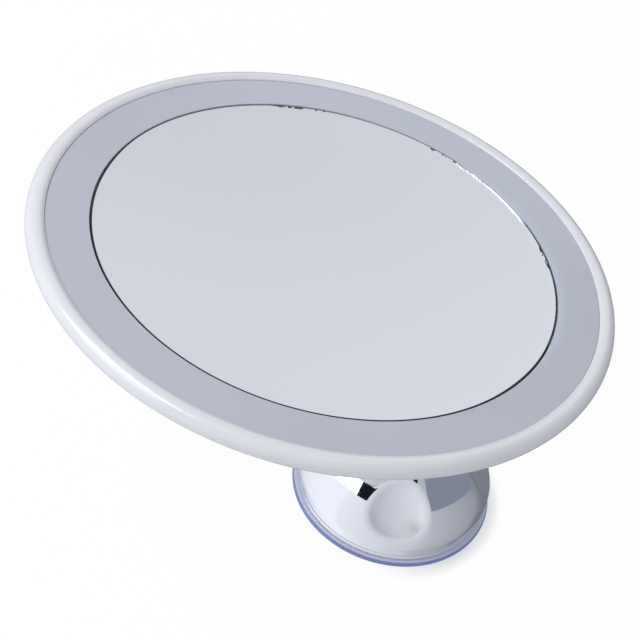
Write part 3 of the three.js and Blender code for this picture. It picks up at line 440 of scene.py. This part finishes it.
nylon = finish("nylon")
nylon_grain = noise(nylon, nylon_grain_size, detail=4)
nylon_cloud = noise(nylon, nylon_cloud_size)
surface(
    nylon,
    Base_Color=nylon.blend(nylon_cloud, tone(226, 222, 212), tone(238, 235, 227)),
    Roughness=0.4 + 0.15 * nylon_grain,
    Normal=bump(nylon, nylon_grain, nylon_relief),
)
kept(nylon, "pull_stud", "cam_ring")
steel = finish("steel")
steel_grain = noise(steel, steel_grain_size, detail=5)
steel_cloud = noise(steel, steel_cloud_size)
surface(
    steel,
    Base_Color=steel.blend(steel_cloud, tone(186, 189, 194), tone(205, 207, 211)),
    Roughness=0.22 + 0.16 * steel_grain,
    Metallic=1,
    Normal=bump(steel, steel_grain, steel_relief),
)
kept(steel, "cross_pin")
white_satin = finish("white_satin")
satin_grain = noise(white_satin, satin_grain_size, detail=4)
satin_cloud = noise(white_satin, satin_cloud_size)
surface(
    white_satin,
    Base_Color=white_satin.blend(satin_cloud, tone(226, 228, 232), tone(236, 237, 240)),
    Roughness=0.42 + 0.12 * satin_grain,
    Normal=bump(white_satin, satin_grain, satin_relief),
)
kept(white_satin, "pressure_bell")

# Twist dome
# The lock's knob, injection moulded and chrome plated. Its thin shell is turned in one line
# from lip to crown, and four egg-shaped finger scoops are sunk into it with soft rims.
dome_foot, dome_top = (corner.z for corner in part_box("twist_dome"))
dome_lip_radius = 0.0352
dome_lip_height = 0.0009
dome_bulge_radius = 0.0355
dome_crown_radius = 0.0096
dome_bore = 0.0067
dome_wall = 0.002
dome_sharp_angle = 40
chrome_haze_size = 0.009
dome_side_shares = [
    (0.983, 0.042),
    (0.992, 0.125),
    (1, 0.2),
    (0.985, 0.286),
    (0.946, 0.381),
    (0.826, 0.542),
    (0.61, 0.717),
    (0.34, 0.869),
    (0.1, 0.973),
]


def smooth_line(points, steps):
    """Points of a smooth curve through the given ones"""
    ends = [points[0]] + list(points) + [points[-1]]
    line = []
    for n in range(len(points) - 1):
        before, start, end, after = [np.array(p) for p in ends[n : n + 4]]
        for share in np.linspace(0, 1, steps, endpoint=False):
            pull = (end - before) / 2 * share + (2 * before - 5 * start + 4 * end - after) / 2 * share**2
            line.append(tuple(start + pull + (3 * start - before - 3 * end + after) / 2 * share**3))
    return line + [tuple(points[-1])]


dome_rise = dome_top - dome_foot
dome_drop = dome_bulge_radius - dome_crown_radius
dome_side = [
    (dome_crown_radius + dome_drop * out, dome_foot + dome_rise * up)
    for out, up in dome_side_shares
]
dome_side = smooth_line(dome_side, steps=14)
dome_lip = (dome_lip_radius, dome_foot)
dome_lip_top = (dome_lip_radius, dome_foot + dome_lip_height)
dome_inside = [(x - dome_wall, max(z - dome_wall, dome_foot)) for x, z in dome_side[::-4]]
dome_outline = [dome_lip, dome_lip_top] + dome_side + [(dome_crown_radius, dome_top)]
dome_outline += [(dome_bore, dome_top), (dome_bore, dome_top - dome_wall)] + dome_inside
dome_outline += [(dome_lip_radius - dome_wall, dome_foot), dome_lip]
dome = turned("chrome_dome", dome_outline, steps=400)

scoop_count = 4
scoop_direction = math.radians(-79)
scoop_lean = math.radians(36.8)
scoop_half = np.array((0.007, 0.0135, 0.015))  # through, across and along the hollow
scoop_taper_share = 0.28
taper_limit_share = 1.5
scoop_out_share = 0.908
scoop_up_share = 0.637
scoop_rim = 0.0013
scoop_step = 0.0002
scoop_deepest = 0.017
scoop_aside = 0.02
least_slope = 0.15
least_facing = 0.1
least_outward = 0.02
satin_depth = 0.001
least_norm = 1e-9


def egg_distance(points, half):
    """About how far points lie outside the scoop's egg, in its own axes"""
    taper = scoop_taper_share * np.clip(points[:, 2] / half[2], -taper_limit_share, taper_limit_share)
    scaled = np.stack([points[:, 0], points[:, 1] / (1 - taper), points[:, 2]], axis=1) / half
    return ((scaled**2).sum(axis=1) - 1) / (2 * np.linalg.norm(scaled / half, axis=1) + least_norm)


def sink_scoop(points, normals, wall):
    """How far each point moves along the scoop's axis, until it lies on the rounded hollow"""
    half = scoop_half + wall
    sunk = np.zeros(len(points))
    done = np.zeros(len(points), bool)
    axis = np.array((-1.0, 0, 0))
    slope = np.clip(-(normals @ axis), least_slope, 1)
    last = np.ones(len(points))
    for step in np.arange(0, scoop_deepest, scoop_step):
        skin = -step * slope
        hollow = -egg_distance(points + axis * step, half)
        overlap = np.clip(1 - np.abs(skin - hollow) / scoop_rim, 0, 1)
        outside = np.maximum(skin, hollow) + overlap**2 * scoop_rim / 4
        found = (outside < 0) & ~done
        sunk[found] = step - scoop_step * outside[found] / (outside[found] - last[found])
        done |= outside <= 0
        last = outside
    return np.maximum(sunk, 0)


def turn_about(axis, angle):
    return np.array(Matrix.Rotation(angle, 3, axis))


corners = np.array([v.co for v in dome.data.vertices])
normals = np.array([v.normal for v in dome.data.vertices])
leaning = np.hypot(normals[:, 0], normals[:, 1]) > least_outward
outer = leaning & ((normals[:, :2] * corners[:, :2]).sum(axis=1) > 0)
dips = np.zeros(len(corners))
lean = turn_about("Y", -scoop_lean)
centre = np.array((dome_bulge_radius * scoop_out_share, 0, dome_foot + dome_rise * scoop_up_share))
for n in range(scoop_count):
    away = turn_about("Z", scoop_direction + n * math.tau / scoop_count)
    local = (corners @ away - centre) @ lean
    local_normals = normals @ away @ lean
    near = (np.abs(local[:, 1]) < scoop_aside) & (local[:, 0] > -scoop_deepest)
    near &= local_normals[:, 0] * np.where(outer, 1, -1) > least_facing
    for side, wall, sign in ((outer, 0, 1), (~outer, dome_wall, -1)):
        chosen = near & side
        move = sink_scoop(local[chosen], sign * local_normals[chosen], wall)
        local[chosen, 0] -= move
        dips[chosen] = np.maximum(dips[chosen], move)
    corners = (local @ lean.T + centre) @ away.T
dome.data.vertices.foreach_set("co", corners.ravel())
dome.data.update()
dip = dome.data.attributes.new("dip", "FLOAT", "POINT")
dip.data.foreach_set("value", dips.astype(np.float32))
bpy.ops.object.select_all(action="DESELECT")
dome.select_set(True)
bpy.context.view_layer.objects.active = dome
bpy.ops.object.shade_smooth_by_angle(angle=math.radians(dome_sharp_angle))
chrome = finish("chrome")
chrome_haze = noise(chrome, chrome_haze_size, detail=3)
scoop_dip = chrome.node("ShaderNodeAttribute", {"attribute_name": "dip"}, {}, "Fac")
surface(
    chrome,
    Base_Color=chrome.blend(chrome_haze, tone(247, 247, 249), tone(251, 251, 252)),
    Roughness=0.03 + 0.03 * chrome_haze + 0.3 * scoop_dip.ramp(0, satin_depth),
    Metallic=1,
)
fitted(dome, chrome, "lock_dome", "twist_dome")

# Slip washer and ball stem
# A nylon washer lets the dome turn under the stem's flange. The stem is one turned and
# plated piece, screwed into the guide tube, with the ball at its end.
kept(nylon, "slip_washer")
joints = {joint["name"]: joint for joint in frame["joints"]}
stem_low, stem_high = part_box("ball_stem")
ball_centre = Vector(joints["head_spin"]["pos_m"])
ball_radius = stem_high.z - ball_centre.z
flange_radius = stem_high.x
flange_low = 0.0376
flange_top = 0.0391
spigot_radius = 0.0039
neck_radius = 0.0039
flare_height = 0.011
flare_shares = [(0.86, 0.03), (0.5, 0.14), (0.2, 0.4), (0.05, 0.72), (0, 1)]
stem_ease = 0.00025
flare = [
    (neck_radius + (flange_radius - neck_radius) * out, flange_top + flare_height * up)
    for out, up in flare_shares
]
neck_angle = -math.degrees(math.acos(neck_radius / ball_radius))
stem_outline = [(0, stem_low.z), (spigot_radius, stem_low.z), (spigot_radius, flange_low)]
stem_outline += [(flange_radius, flange_low), (flange_radius, flange_top)] + smooth_line(flare, steps=6)
stem_outline += arc((0, ball_centre.z), ball_radius, neck_angle, 90, steps=32)
ball_stem = eased(turned("chrome_stem", stem_outline, steps=96), stem_ease)
fitted(ball_stem, chrome, "cup_base", "ball_stem")

# Clamp nut
# A moulded ring nut that closes the socket round the ball. Its grip has twelve shallow
# flutes, and its lip leaves the stem room to lean. The liners inside it are nylon.
kept(nylon, "ball_liner", "liner_ring")
face_axis = Vector(joints["head_spin"]["axis"])
side_axis = Vector(joints["door_swing"]["axis"])
head_turn = Matrix((side_axis.cross(face_axis), side_axis, face_axis)).transposed()
socket = Matrix.Translation(ball_centre) @ head_turn.to_4x4()
socket_radius = 0.0105
nut_radius = 0.0165
nut_bore = 0.0136
nut_top = 0.0057
nut_lip_angle = 125
nut_lip_wall = 0.0021
nut_chamfer = 0.0014
nut_ease = 0.0003
flute_count = 12
flute_radius = 0.0022
flute_sink = 0.0006
gloss_cloud_size = 0.03
gloss_haze_size = 0.004
gloss_grain_size = 0.0014
gloss_relief = 0.000004


def cut(piece, tool, operation="DIFFERENCE"):
    """Cuts a tool out of a piece, or joins it on, and removes the tool"""
    bpy.ops.object.select_all(action="DESELECT")
    piece.select_set(True)
    bpy.context.view_layer.objects.active = piece
    change = piece.modifiers.new("cut", "BOOLEAN")
    change.operation = operation
    change.solver = "EXACT"
    change.object = tool
    bpy.ops.object.modifier_apply(modifier=change.name)
    bpy.data.objects.remove(tool)


def bar(radius, start, end, sides):
    """A round tool from one point to another"""
    start, end = Vector(start), Vector(end)
    bpy.ops.object.select_all(action="DESELECT")
    bpy.ops.mesh.primitive_cylinder_add(
        vertices=sides,
        radius=radius,
        depth=(end - start).length,
        location=(start + end) / 2,
        rotation=(end - start).to_track_quat("Z", "Y").to_euler(),
    )
    return bpy.context.object


def seated(piece, place):
    """Moves a piece that was made upright to its place, in its mesh"""
    piece.data.transform(place)
    piece.data.update()
    return piece


nut_lip = math.radians(nut_lip_angle)
lip_radius = socket_radius + nut_lip_wall
nut_low = lip_radius * math.cos(nut_lip)
nut_outline = [(nut_bore, nut_top), (nut_radius, nut_top), (nut_radius, nut_low + nut_chamfer)]
nut_outline += [(nut_radius - nut_chamfer, nut_low), (lip_radius * math.sin(nut_lip), nut_low)]
nut_outline += arc((0, 0), socket_radius, 90 - nut_lip_angle, 0, steps=10)
nut_outline += [(nut_bore, 0), (nut_bore, nut_top)]
clamp_nut = turned("clamp_ring", nut_outline, steps=96)
flute_reach = nut_radius + flute_radius - flute_sink
for n in range(flute_count):
    around = math.tau * n / flute_count
    x, y = flute_reach * math.cos(around), flute_reach * math.sin(around)
    cut(clamp_nut, bar(flute_radius, (x, y, nut_low * 2), (x, y, nut_top * 2), sides=24))
eased(seated(clamp_nut, socket), nut_ease, segments=2)
white_gloss = finish("white_gloss")
gloss_cloud = noise(white_gloss, gloss_cloud_size)
gloss_haze = noise(white_gloss, gloss_haze_size, detail=3)
gloss_grain = noise(white_gloss, gloss_grain_size, detail=3)
surface(
    white_gloss,
    Base_Color=white_gloss.blend(gloss_cloud, tone(217, 218, 224), tone(224, 225, 231)),
    Roughness=0.14 + 0.06 * gloss_haze,
    Coat_Weight=0.5,
    Coat_Roughness=0.06,
    Normal=bump(white_gloss, gloss_grain, gloss_relief),
)
fitted(clamp_nut, white_gloss, "nut", "clamp_nut")

# Rear cover
# The head's back, one injection moulding in glossy white: the shell with its flat back, the
# ball socket, the battery bay with its ledge, six screw wells and the switch's pocket.
socket_offset = 0.0448
socket_depth = 0.03
face = socket @ Matrix.Translation((-socket_offset, 0, socket_depth))
back_depth = 0.024
back_wall = 0.0022
back_radius = 0.066
back_shares = [(1, 0), (0.955, 0.065), (0.79, 0.27), (0.59, 0.55), (0.36, 0.84), (0, 1)]
bead_radius = 0.0035
bead_core_radius = 0.0964
bead_depth = 0.00285
bead_low_angle = math.radians(-52)
play = 0.0003
rim_wall = 0.0019
rim_depth = 0.0036
cover_ease = 0.0004
seam_depth = bead_depth - bead_radius * math.sin(bead_low_angle) + play
seam_radius = bead_core_radius + bead_radius * math.cos(bead_low_angle) - play
rim_radius = bead_core_radius - play
slope = [
    (back_radius + (seam_radius - back_radius) * out, -seam_depth - (back_depth - seam_depth) * down)
    for out, down in back_shares
]
slope_inside = [(x - back_wall, z + back_wall) for x, z in slope[1:-1]]
back_outline = [(0, -back_depth)] + smooth_line(slope, steps=8)[::-1]
back_outline += [(rim_radius, -seam_depth), (rim_radius, -rim_depth), (rim_radius - rim_wall, -rim_depth)]
back_outline += [(rim_radius - rim_wall, slope_inside[0][1])] + smooth_line(slope_inside[1:], steps=6)
back_outline += [(back_radius - back_wall, back_wall - back_depth), (0, back_wall - back_depth)]
cover = turned("back_shell", back_outline, steps=180)
boss_radius = 0.0133
boss_crown = 0.0125
boss_high = 0.0003
boss_outline = [(0, boss_high), (boss_radius, boss_high), (boss_radius, socket_depth - back_depth)]
boss_outline += arc((0, 0), boss_crown, 30, 90, steps=10)
boss = turned("boss", boss_outline, steps=96)
socket_place = (socket_offset, 0, -socket_depth)
cut(cover, seated(boss, Matrix.Translation(socket_place)), "UNION")


def brick(place, half, low, high, name="tool"):
    """A block about a place, from its two half sizes and its lowest and highest Z"""
    start = Vector((place[0] - half[0], place[1] - half[1], low))
    end = Vector((place[0] + half[0], place[1] + half[1], high))
    bpy.ops.object.select_all(action="DESELECT")
    bpy.ops.mesh.primitive_cube_add(size=1, location=(start + end) / 2, scale=end - start)
    bpy.ops.object.transform_apply(location=True, rotation=True, scale=True)
    bpy.context.object.name = name
    return bpy.context.object


bay_place = (0.001, 0)
bay_half = Vector((0.017, 0.0262))
bay_margin = 0.0015
bay_wall = 0.0011
bay_floor = 0.0109
ledge_depth = 0.0221
door_thickness = 0.0016
ledge = bay_half + Vector((bay_margin, bay_margin))
bay_outside = ledge + Vector((bay_wall, bay_wall))
past = 2 * back_depth
cut(cover, brick(bay_place, bay_outside, -back_depth + play, -bay_floor + bay_wall), "UNION")
screw_count = 6
screw_circle = 0.06
screw_first = math.radians(30)
well_radius = 0.0046
well_top = 0.0126
screw_seat = 0.0173
head_room = 0.0031
shank_room = 0.0017
screw_angles = [screw_first + n * math.tau / screw_count for n in range(screw_count)]
screw_places = [(screw_circle * math.cos(a), screw_circle * math.sin(a)) for a in screw_angles]
for x, y in screw_places:
    well = bar(well_radius, (x, y, -back_depth + back_wall / 2), (x, y, -well_top), sides=40)
    cut(cover, well, "UNION")
cut(cover, brick(bay_place, bay_half, -past, -bay_floor))
cut(cover, brick(bay_place, ledge, -past, -ledge_depth))
tongue_room = (0.0014, 0.0048)
cut(cover, brick((bay_place[0] + ledge.x, 0), tongue_room, -past, -ledge_depth))
bpy.ops.object.select_all(action="DESELECT")
bpy.ops.mesh.primitive_uv_sphere_add(segments=64, ring_count=32, radius=socket_radius, location=socket_place)
cut(cover, bpy.context.object)
for x, y in screw_places:
    cut(cover, bar(head_room, (x, y, -past), (x, y, -screw_seat + play), sides=40))
    cut(cover, bar(shank_room, (x, y, -screw_seat), (x, y, -well_top + back_wall), sides=24))
switch_x = -0.042
slider_half = Vector((0.0028, 0.004))
slider_travel = 0.004
slider_proud = 0.0007
slider_height = 0.0017
pocket = slider_half + Vector((play, play + slider_travel / 2))
pocket_depth = back_depth + slider_proud - slider_height - play
cut(cover, brick((switch_x, 0), pocket, -past, -pocket_depth))
eased(seated(cover, face), cover_ease, segments=2, angle=40)
fitted(cover, white_gloss, "head", "rear_cover")

# Case screws
# Six pan-head steel screws with a cross recess, each turned a little further than the last.
# They sit in the back's wells and hold the light tray by its bosses.
screw_head = 0.0028
screw_shank = 0.0014
screw_head_height = 0.0018
screw_top = 0.0083
screw_flat_share = 0.6
screw_round_share = 0.93
screw_round = 0.0003
screw_crown = 0.0006
screw_ease = 0.00012
screw_twist = math.radians(37)
recess_half = 0.0017
recess_width = 0.0005
recess_depth = 0.0009
seat = -screw_seat
head_top = seat - screw_head_height
screw_outline = [(0, head_top), (screw_head * screw_flat_share, head_top)]
screw_outline += [(screw_head * screw_round_share, head_top + screw_round)]
screw_outline += [(screw_head, head_top + screw_crown), (screw_head, seat), (screw_shank, seat)]
screw_outline += [(screw_shank, -screw_top), (0, -screw_top)]
screw = turned("case_screw", screw_outline, steps=40)
for half in ((recess_half, recess_width), (recess_width, recess_half)):
    cut(screw, brick((0, 0), half, head_top - recess_depth, head_top + recess_depth))
eased(screw, screw_ease, segments=2)
upright = screw.data.copy()
for n, (x, y) in enumerate(screw_places):
    copy = screw
    if n > 0:
        copy = screw.copy()
        copy.data = upright.copy()
        bpy.context.scene.collection.objects.link(copy)
    copy.name = f"pan_screw_{n + 1}"
    turn = Matrix.Rotation(n * screw_twist, 4, "Z")
    seated(copy, face @ Matrix.Translation((x, y, 0)) @ turn)
    fitted(copy, steel, "head", f"case_screw_{n + 1}")

# Batteries and contacts
# Three AAA cells in a row, head to tail, each a steel can in a sleeve. The contacts are
# nickel-plated strip, and three of them carry a conical spring.
kept(steel, "contact_negative", "contact_bridge_1", "contact_bridge_2", "contact_positive")
cell_count = 3
cell_radius = 0.0052
cell_length = 0.0445
nub_radius = 0.0019
nub_height = 0.0011
cell_shoulder = 0.0005
cell_pitch = 0.011
cell_depth = 0.0163
cell_ease = 0.0003
nub_end = 0.0251
wrap_cloud_size = 0.003
cell_wrap = finish("cell_wrap")
wrap_cloud = noise(cell_wrap, wrap_cloud_size, detail=3)
surface(
    cell_wrap,
    Base_Color=cell_wrap.blend(wrap_cloud, tone(66, 99, 88), tone(80, 113, 101)),
    Roughness=0.25 + 0.1 * wrap_cloud,
    Metallic=0.6,
    Coat_Weight=0.4,
)
cell_body = cell_length - nub_height
cell_end_radius = cell_radius - cell_shoulder
cell_outline = [(0, 0), (cell_end_radius, 0), (cell_radius, cell_shoulder)]
cell_outline += [(cell_radius, cell_body - cell_shoulder), (cell_end_radius, cell_body)]
cell_outline += [(nub_radius, cell_body), (nub_radius, cell_length), (0, cell_length)]
for n in range(cell_count):
    cell = eased(turned(f"cell_{n + 1}", cell_outline, steps=48), cell_ease)
    way = 1 if n % 2 == 0 else -1
    cell_x = bay_place[0] + (n - (cell_count - 1) / 2) * cell_pitch
    lay = Matrix.Translation((cell_x, way * (nub_end - cell_length), -cell_depth))
    seated(cell, face @ lay @ Matrix.Rotation(-way * math.pi / 2, 4, "X"))
    fitted(cell, cell_wrap, "head", f"battery_{n + 1}")

# Battery door
# A glossy moulded plate with a rounded hinge edge and two hinge pins. A springy tongue
# latches it opposite the hinge, beside four grooves for the thumb.
door_half = Vector((0.0182, 0.0274))
door_ease = 0.00018
pin_radius = 0.00055
pin_proud = 0.0012
tongue = (0.0011, 0.0045)
grip_count = 4
grip_pitch = 0.002
grip_half = Vector((0.0004, 0.007))
grip_depth = 0.0005
door_low = -back_depth
door_high = door_low + door_thickness
door_axis = Vector((bay_place[0] - door_half.x + door_thickness / 2, 0, door_low + door_thickness / 2))
free_edge = bay_place[0] + door_half.x
door_reach = (free_edge - door_axis.x) / 2
door = brick((free_edge - door_reach, 0), (door_reach, door_half.y), door_low, door_high, "bay_door")
for radius, end, sides in ((door_thickness / 2, 0, 32), (pin_radius, pin_proud, 24)):
    hinge_end = Vector((0, door_half.y + end, 0))
    cut(door, bar(radius, door_axis - hinge_end, door_axis + hinge_end, sides), "UNION")
cut(door, brick((free_edge, 0), tongue, door_low, door_high), "UNION")
for n in range(grip_count):
    grip_place = (free_edge - (n + 2) * grip_pitch, 0)
    cut(door, brick(grip_place, grip_half, -past, door_low + grip_depth))
eased(seated(door, face), door_ease, segments=2)
fitted(door, white_gloss, "door", "battery_door")

# Slide switch
# A black slider with ridges for a fingertip, in the pocket of the back. It drives the
# switch that is soldered to the leads behind it.
black_grain_size = 0.0004
black_relief = 0.000012
switch_black = finish("switch_black")
black_grain = noise(switch_black, black_grain_size, detail=4)
surface(
    switch_black,
    Base_Color=switch_black.blend(black_grain, tone(40, 41, 44), tone(52, 53, 57)),
    Roughness=0.4 + 0.15 * black_grain,
    Normal=bump(switch_black, black_grain, black_relief),
)
kept(switch_black, "switch_body")
ridge_count = 4
ridge_width = 0.0007
ridge_depth = 0.0004
knob_stem_half = (0.0013, 0.0015)
knob_stem_height = 0.0044
knob_ease = 0.00015
knob_low = -back_depth - slider_proud
knob_high = knob_low + slider_height
knob_place = (switch_x, -slider_travel / 2)
slider = brick(knob_place, slider_half, knob_low, knob_high, "switch_knob")
for n in range(ridge_count):
    ridge_place = (switch_x, knob_place[1] + (2 * n + 1 - ridge_count) * ridge_width)
    cut(slider, brick(ridge_place, (pocket.x, ridge_width / 2), -past, knob_low + ridge_depth))
knob_stem = brick(knob_place, knob_stem_half, knob_high - ridge_depth, knob_high + knob_stem_height)
cut(slider, knob_stem, "UNION")
eased(seated(slider, face), knob_ease, segments=2)
fitted(slider, switch_black, "slider", "switch_slider")

# Leads
# Three stranded leads in soft PVC join the contacts, the switch and the light board. They
# run inside the shell, so the frame's solids stay, with a finish.
sleeve_cloud_size = 0.002
for slot, first, second, nodes in (
    ("red_wire", tone(176, 34, 30), tone(196, 46, 40), ("wire_battery", "wire_switch")),
    ("black_wire", tone(34, 34, 37), tone(46, 46, 50), ("wire_return",)),
):
    sleeve = finish(slot)
    sleeve_cloud = noise(sleeve, sleeve_cloud_size, detail=3)
    sleeve_tint = sleeve.blend(sleeve_cloud, first, second)
    surface(sleeve, Base_Color=sleeve_tint, Roughness=0.4 + 0.15 * sleeve_cloud)
    kept(sleeve, *nodes)

# Light tray and light board
# The white tray carries the glass, the ring board with its lights and the screw bosses.
# The board is white solder mask over glass fibre.
kept(white_satin, "light_tray")
board_cloud_size = 0.002
board = finish("board")
board_cloud = noise(board, board_cloud_size, detail=4)
board_tint = board.blend(board_cloud, tone(232, 235, 224), tone(242, 244, 236))
surface(board, Base_Color=board_tint, Roughness=0.35 + 0.1 * board_cloud)
kept(board, "led_board")

# Pad and mirror glass
# Foam pad, and on it the concave magnifying glass, silvered and lacquered on its back with a
# ground edge. The silvering is nibbled along the right-hand rim. The dark rim is partly painted
# shade of the gap by the diffuser, and a painted highlight glows on the ground edge.
foam_cell_size = 0.0006
foam_relief = 0.0002
foam = finish("foam")
foam_cells = noise(foam, foam_cell_size, detail=3)
surface(
    foam,
    Base_Color=foam.blend(foam_cells, tone(46, 46, 48), tone(66, 66, 69)),
    Roughness=0.9,
    Normal=bump(foam, foam_cells, foam_relief),
)
kept(foam, "mirror_pad")
glass_radius = 0.0792
glass_thickness = 0.0025
glass_drop = 0.001
glass_sag = 0.0035
glass_ease = 0.0002
glass_rings = 24
radii = [glass_radius * n / glass_rings for n in range(glass_rings + 1)]
glass_front = [(r, -glass_drop - glass_sag * (1 - (r / glass_radius) ** 2)) for r in radii]
glass_back = [(r, z - glass_thickness) for r, z in glass_front]
glass = turned("magnifying_glass", glass_front + glass_back[::-1], steps=200)
seated(eased(glass, glass_ease, segments=2), face)
face_centre = face.translation


def toward(recipe, place, azimuth):
    """1 where a place on the face lies towards an azimuth in degrees, 0 square to it"""
    aside = recipe.vector("SUBTRACT", place, face_centre, output="Vector")
    aside = recipe.vector("NORMALIZE", aside, output="Vector")
    heading = (math.cos(math.radians(azimuth)), math.sin(math.radians(azimuth)), 0)
    return recipe.vector("DOT_PRODUCT", aside, heading)


lacquer_fade = 0.0001
chip_size = 0.0025
chip_width = 0.0008
# Azimuths in degrees, and how far towards each the silvering starts to be worn and is fully so
worn_spots = ((68, 0.965, 0.985), (112, 0.985, 0.995), (27, 0.992, 0.997))
# The same for the dark rim, with its width in metres after the azimuth. This widening is
# painted shade of the gap between the glass and the diffuser.
shade_rim_spots = ((-105, 0.0004, -0.1, 0.3), (15, 0.0003, 0.6, 0.9))
# Where the painted highlight lies on the ground edge
painted_glint_azimuth = 54
painted_glint_start = 0.0779
painted_glint_end = 0.0782
painted_glint_waver = 0.0004
silvered = finish("silvered")
glass_place = silvered.place()
glass_reach = silvered.vector("DISTANCE", glass_place, face_centre)
chips = noise(silvered, chip_size, detail=4).ramp(0.5, 0.56)
worn = 0
for azimuth, low, high in worn_spots:
    worn += toward(silvered, glass_place, azimuth).ramp(low, high)
# The dark rim: black lacquer where the silvering ends or is worn, plus painted shade of the gap
lacquer_and_shade_width = lacquer_fade + chip_width * worn * chips
for azimuth, width, low, high in shade_rim_spots:
    lacquer_and_shade_width += width * toward(silvered, glass_place, azimuth).ramp(low, high)
lacquer_and_shade = (glass_reach + lacquer_and_shade_width).ramp(glass_radius - lacquer_fade, glass_radius)
# Painted highlight: the edge glows white in a short arc just inside the rim
painted_glint = toward(silvered, glass_place, painted_glint_azimuth).ramp(0.962, 0.976)
painted_glint = painted_glint * (glass_reach + painted_glint_waver * chips).ramp(painted_glint_start, painted_glint_end)
surface(
    silvered,
    Base_Color=silvered.blend(lacquer_and_shade, tone(238, 241, 244), tone(16, 17, 20)),
    Roughness=0.01 + 0.3 * lacquer_and_shade,
    Metallic=1 - lacquer_and_shade,
    Emission_Color=silvered.blend(painted_glint, tone(0, 0, 0), white),
    Emission_Strength=0.45,
)
fitted(glass, silvered, "head", "mirror_glass")

# Diffuser ring
# Frosted acrylic over the lights, moulded as a flat ring. Its flange lies behind the
# bezel's lip, which holds it down. Its colour holds painted light: lighter towards the far
# side, with a painted bluish glow beside the glass.
diffuser_drop = 0.0006
diffuser_thickness = 0.0016
diffuser_inner = 0.0796
diffuser_gap = 0.00005
diffuser_ease = 0.00015
bezel_inner = 0.094
bezel_lip = 0.0015
flange_gap = 0.0006
flange_inner = 0.09005
flange_thickness = 0.0015
diffuser_outer = bezel_inner - diffuser_gap
diffuser_foot = -diffuser_drop - diffuser_thickness
flange_outer = bead_core_radius - flange_gap
flange_high = -bezel_lip - play
flange_foot = flange_high - flange_thickness
diffuser_outline = [(diffuser_inner, -diffuser_drop), (diffuser_outer, -diffuser_drop)]
diffuser_outline += [(diffuser_outer, flange_high), (flange_outer, flange_high)]
diffuser_outline += [(flange_outer, flange_foot), (flange_inner, flange_foot)]
diffuser_outline += [(flange_inner, diffuser_foot), (diffuser_inner, diffuser_foot)]
diffuser_outline += diffuser_outline[:1]
diffuser = eased(turned("frosted_ring", diffuser_outline, steps=200), diffuser_ease, segments=2)
painted_glow_side_start = 0.0798
painted_glow_side_end = 0.0835
frost_grain_size = 0.0005
frost_cloud_size = 0.05
frost_relief = 0.00001
frosted = finish("frosted")
frost_grain = noise(frosted, frost_grain_size, detail=4)
frost_cloud = noise(frosted, frost_cloud_size)
frost_place = frosted.place()
frost_reach = frosted.vector("DISTANCE", frost_place, face_centre)
# Painted light: lighter towards azimuth 80, and a painted bluish glow in a band by the glass
painted_light_far = toward(frosted, frost_place, 80).ramp(0.3, 0.95)
painted_glow_side = toward(frosted, frost_place, 20).ramp(0.75, 0.95)
painted_glow_side = painted_glow_side * (1 - frost_reach.ramp(painted_glow_side_start, painted_glow_side_end))
frost_and_painted_light = frosted.blend(frost_cloud, tone(178, 181, 194), tone(186, 189, 201))
frost_and_painted_light = frosted.blend(painted_light_far, frost_and_painted_light, tone(189, 193, 206))
frost_and_painted_light = frosted.blend(painted_glow_side, frost_and_painted_light, tone(188, 197, 211))
surface(
    frosted,
    Base_Color=frost_and_painted_light,
    Roughness=0.5 + 0.15 * frost_grain,
    Normal=bump(frosted, frost_grain, frost_relief),
)
seated(diffuser, face)
fitted(diffuser, frosted, "head", "diffuser_ring")

# Front bezel
# A glossy white bead round the head, moulded in one ring with a thin lip over the
# diffuser's flange. It snaps over the rim of the rear cover.
bezel_ease = 0.00008
bead_start = math.degrees(math.acos((bezel_inner - bead_core_radius) / bead_radius))
bead_end = math.degrees(bead_low_angle)
bead = arc((bead_core_radius, -bead_depth), bead_radius, bead_start, bead_end, steps=30)
bezel_outline = [(bezel_inner, -bezel_lip)] + bead
bezel_outline += [(bead_core_radius, bead[-1][1]), (bead_core_radius, -bezel_lip)]
bezel_outline += bezel_outline[:1]
bezel = eased(turned("bead_ring", bezel_outline, steps=240), bezel_ease, segments=2)
seated(bezel, face)
fitted(bezel, white_gloss, "head", "front_bezel")
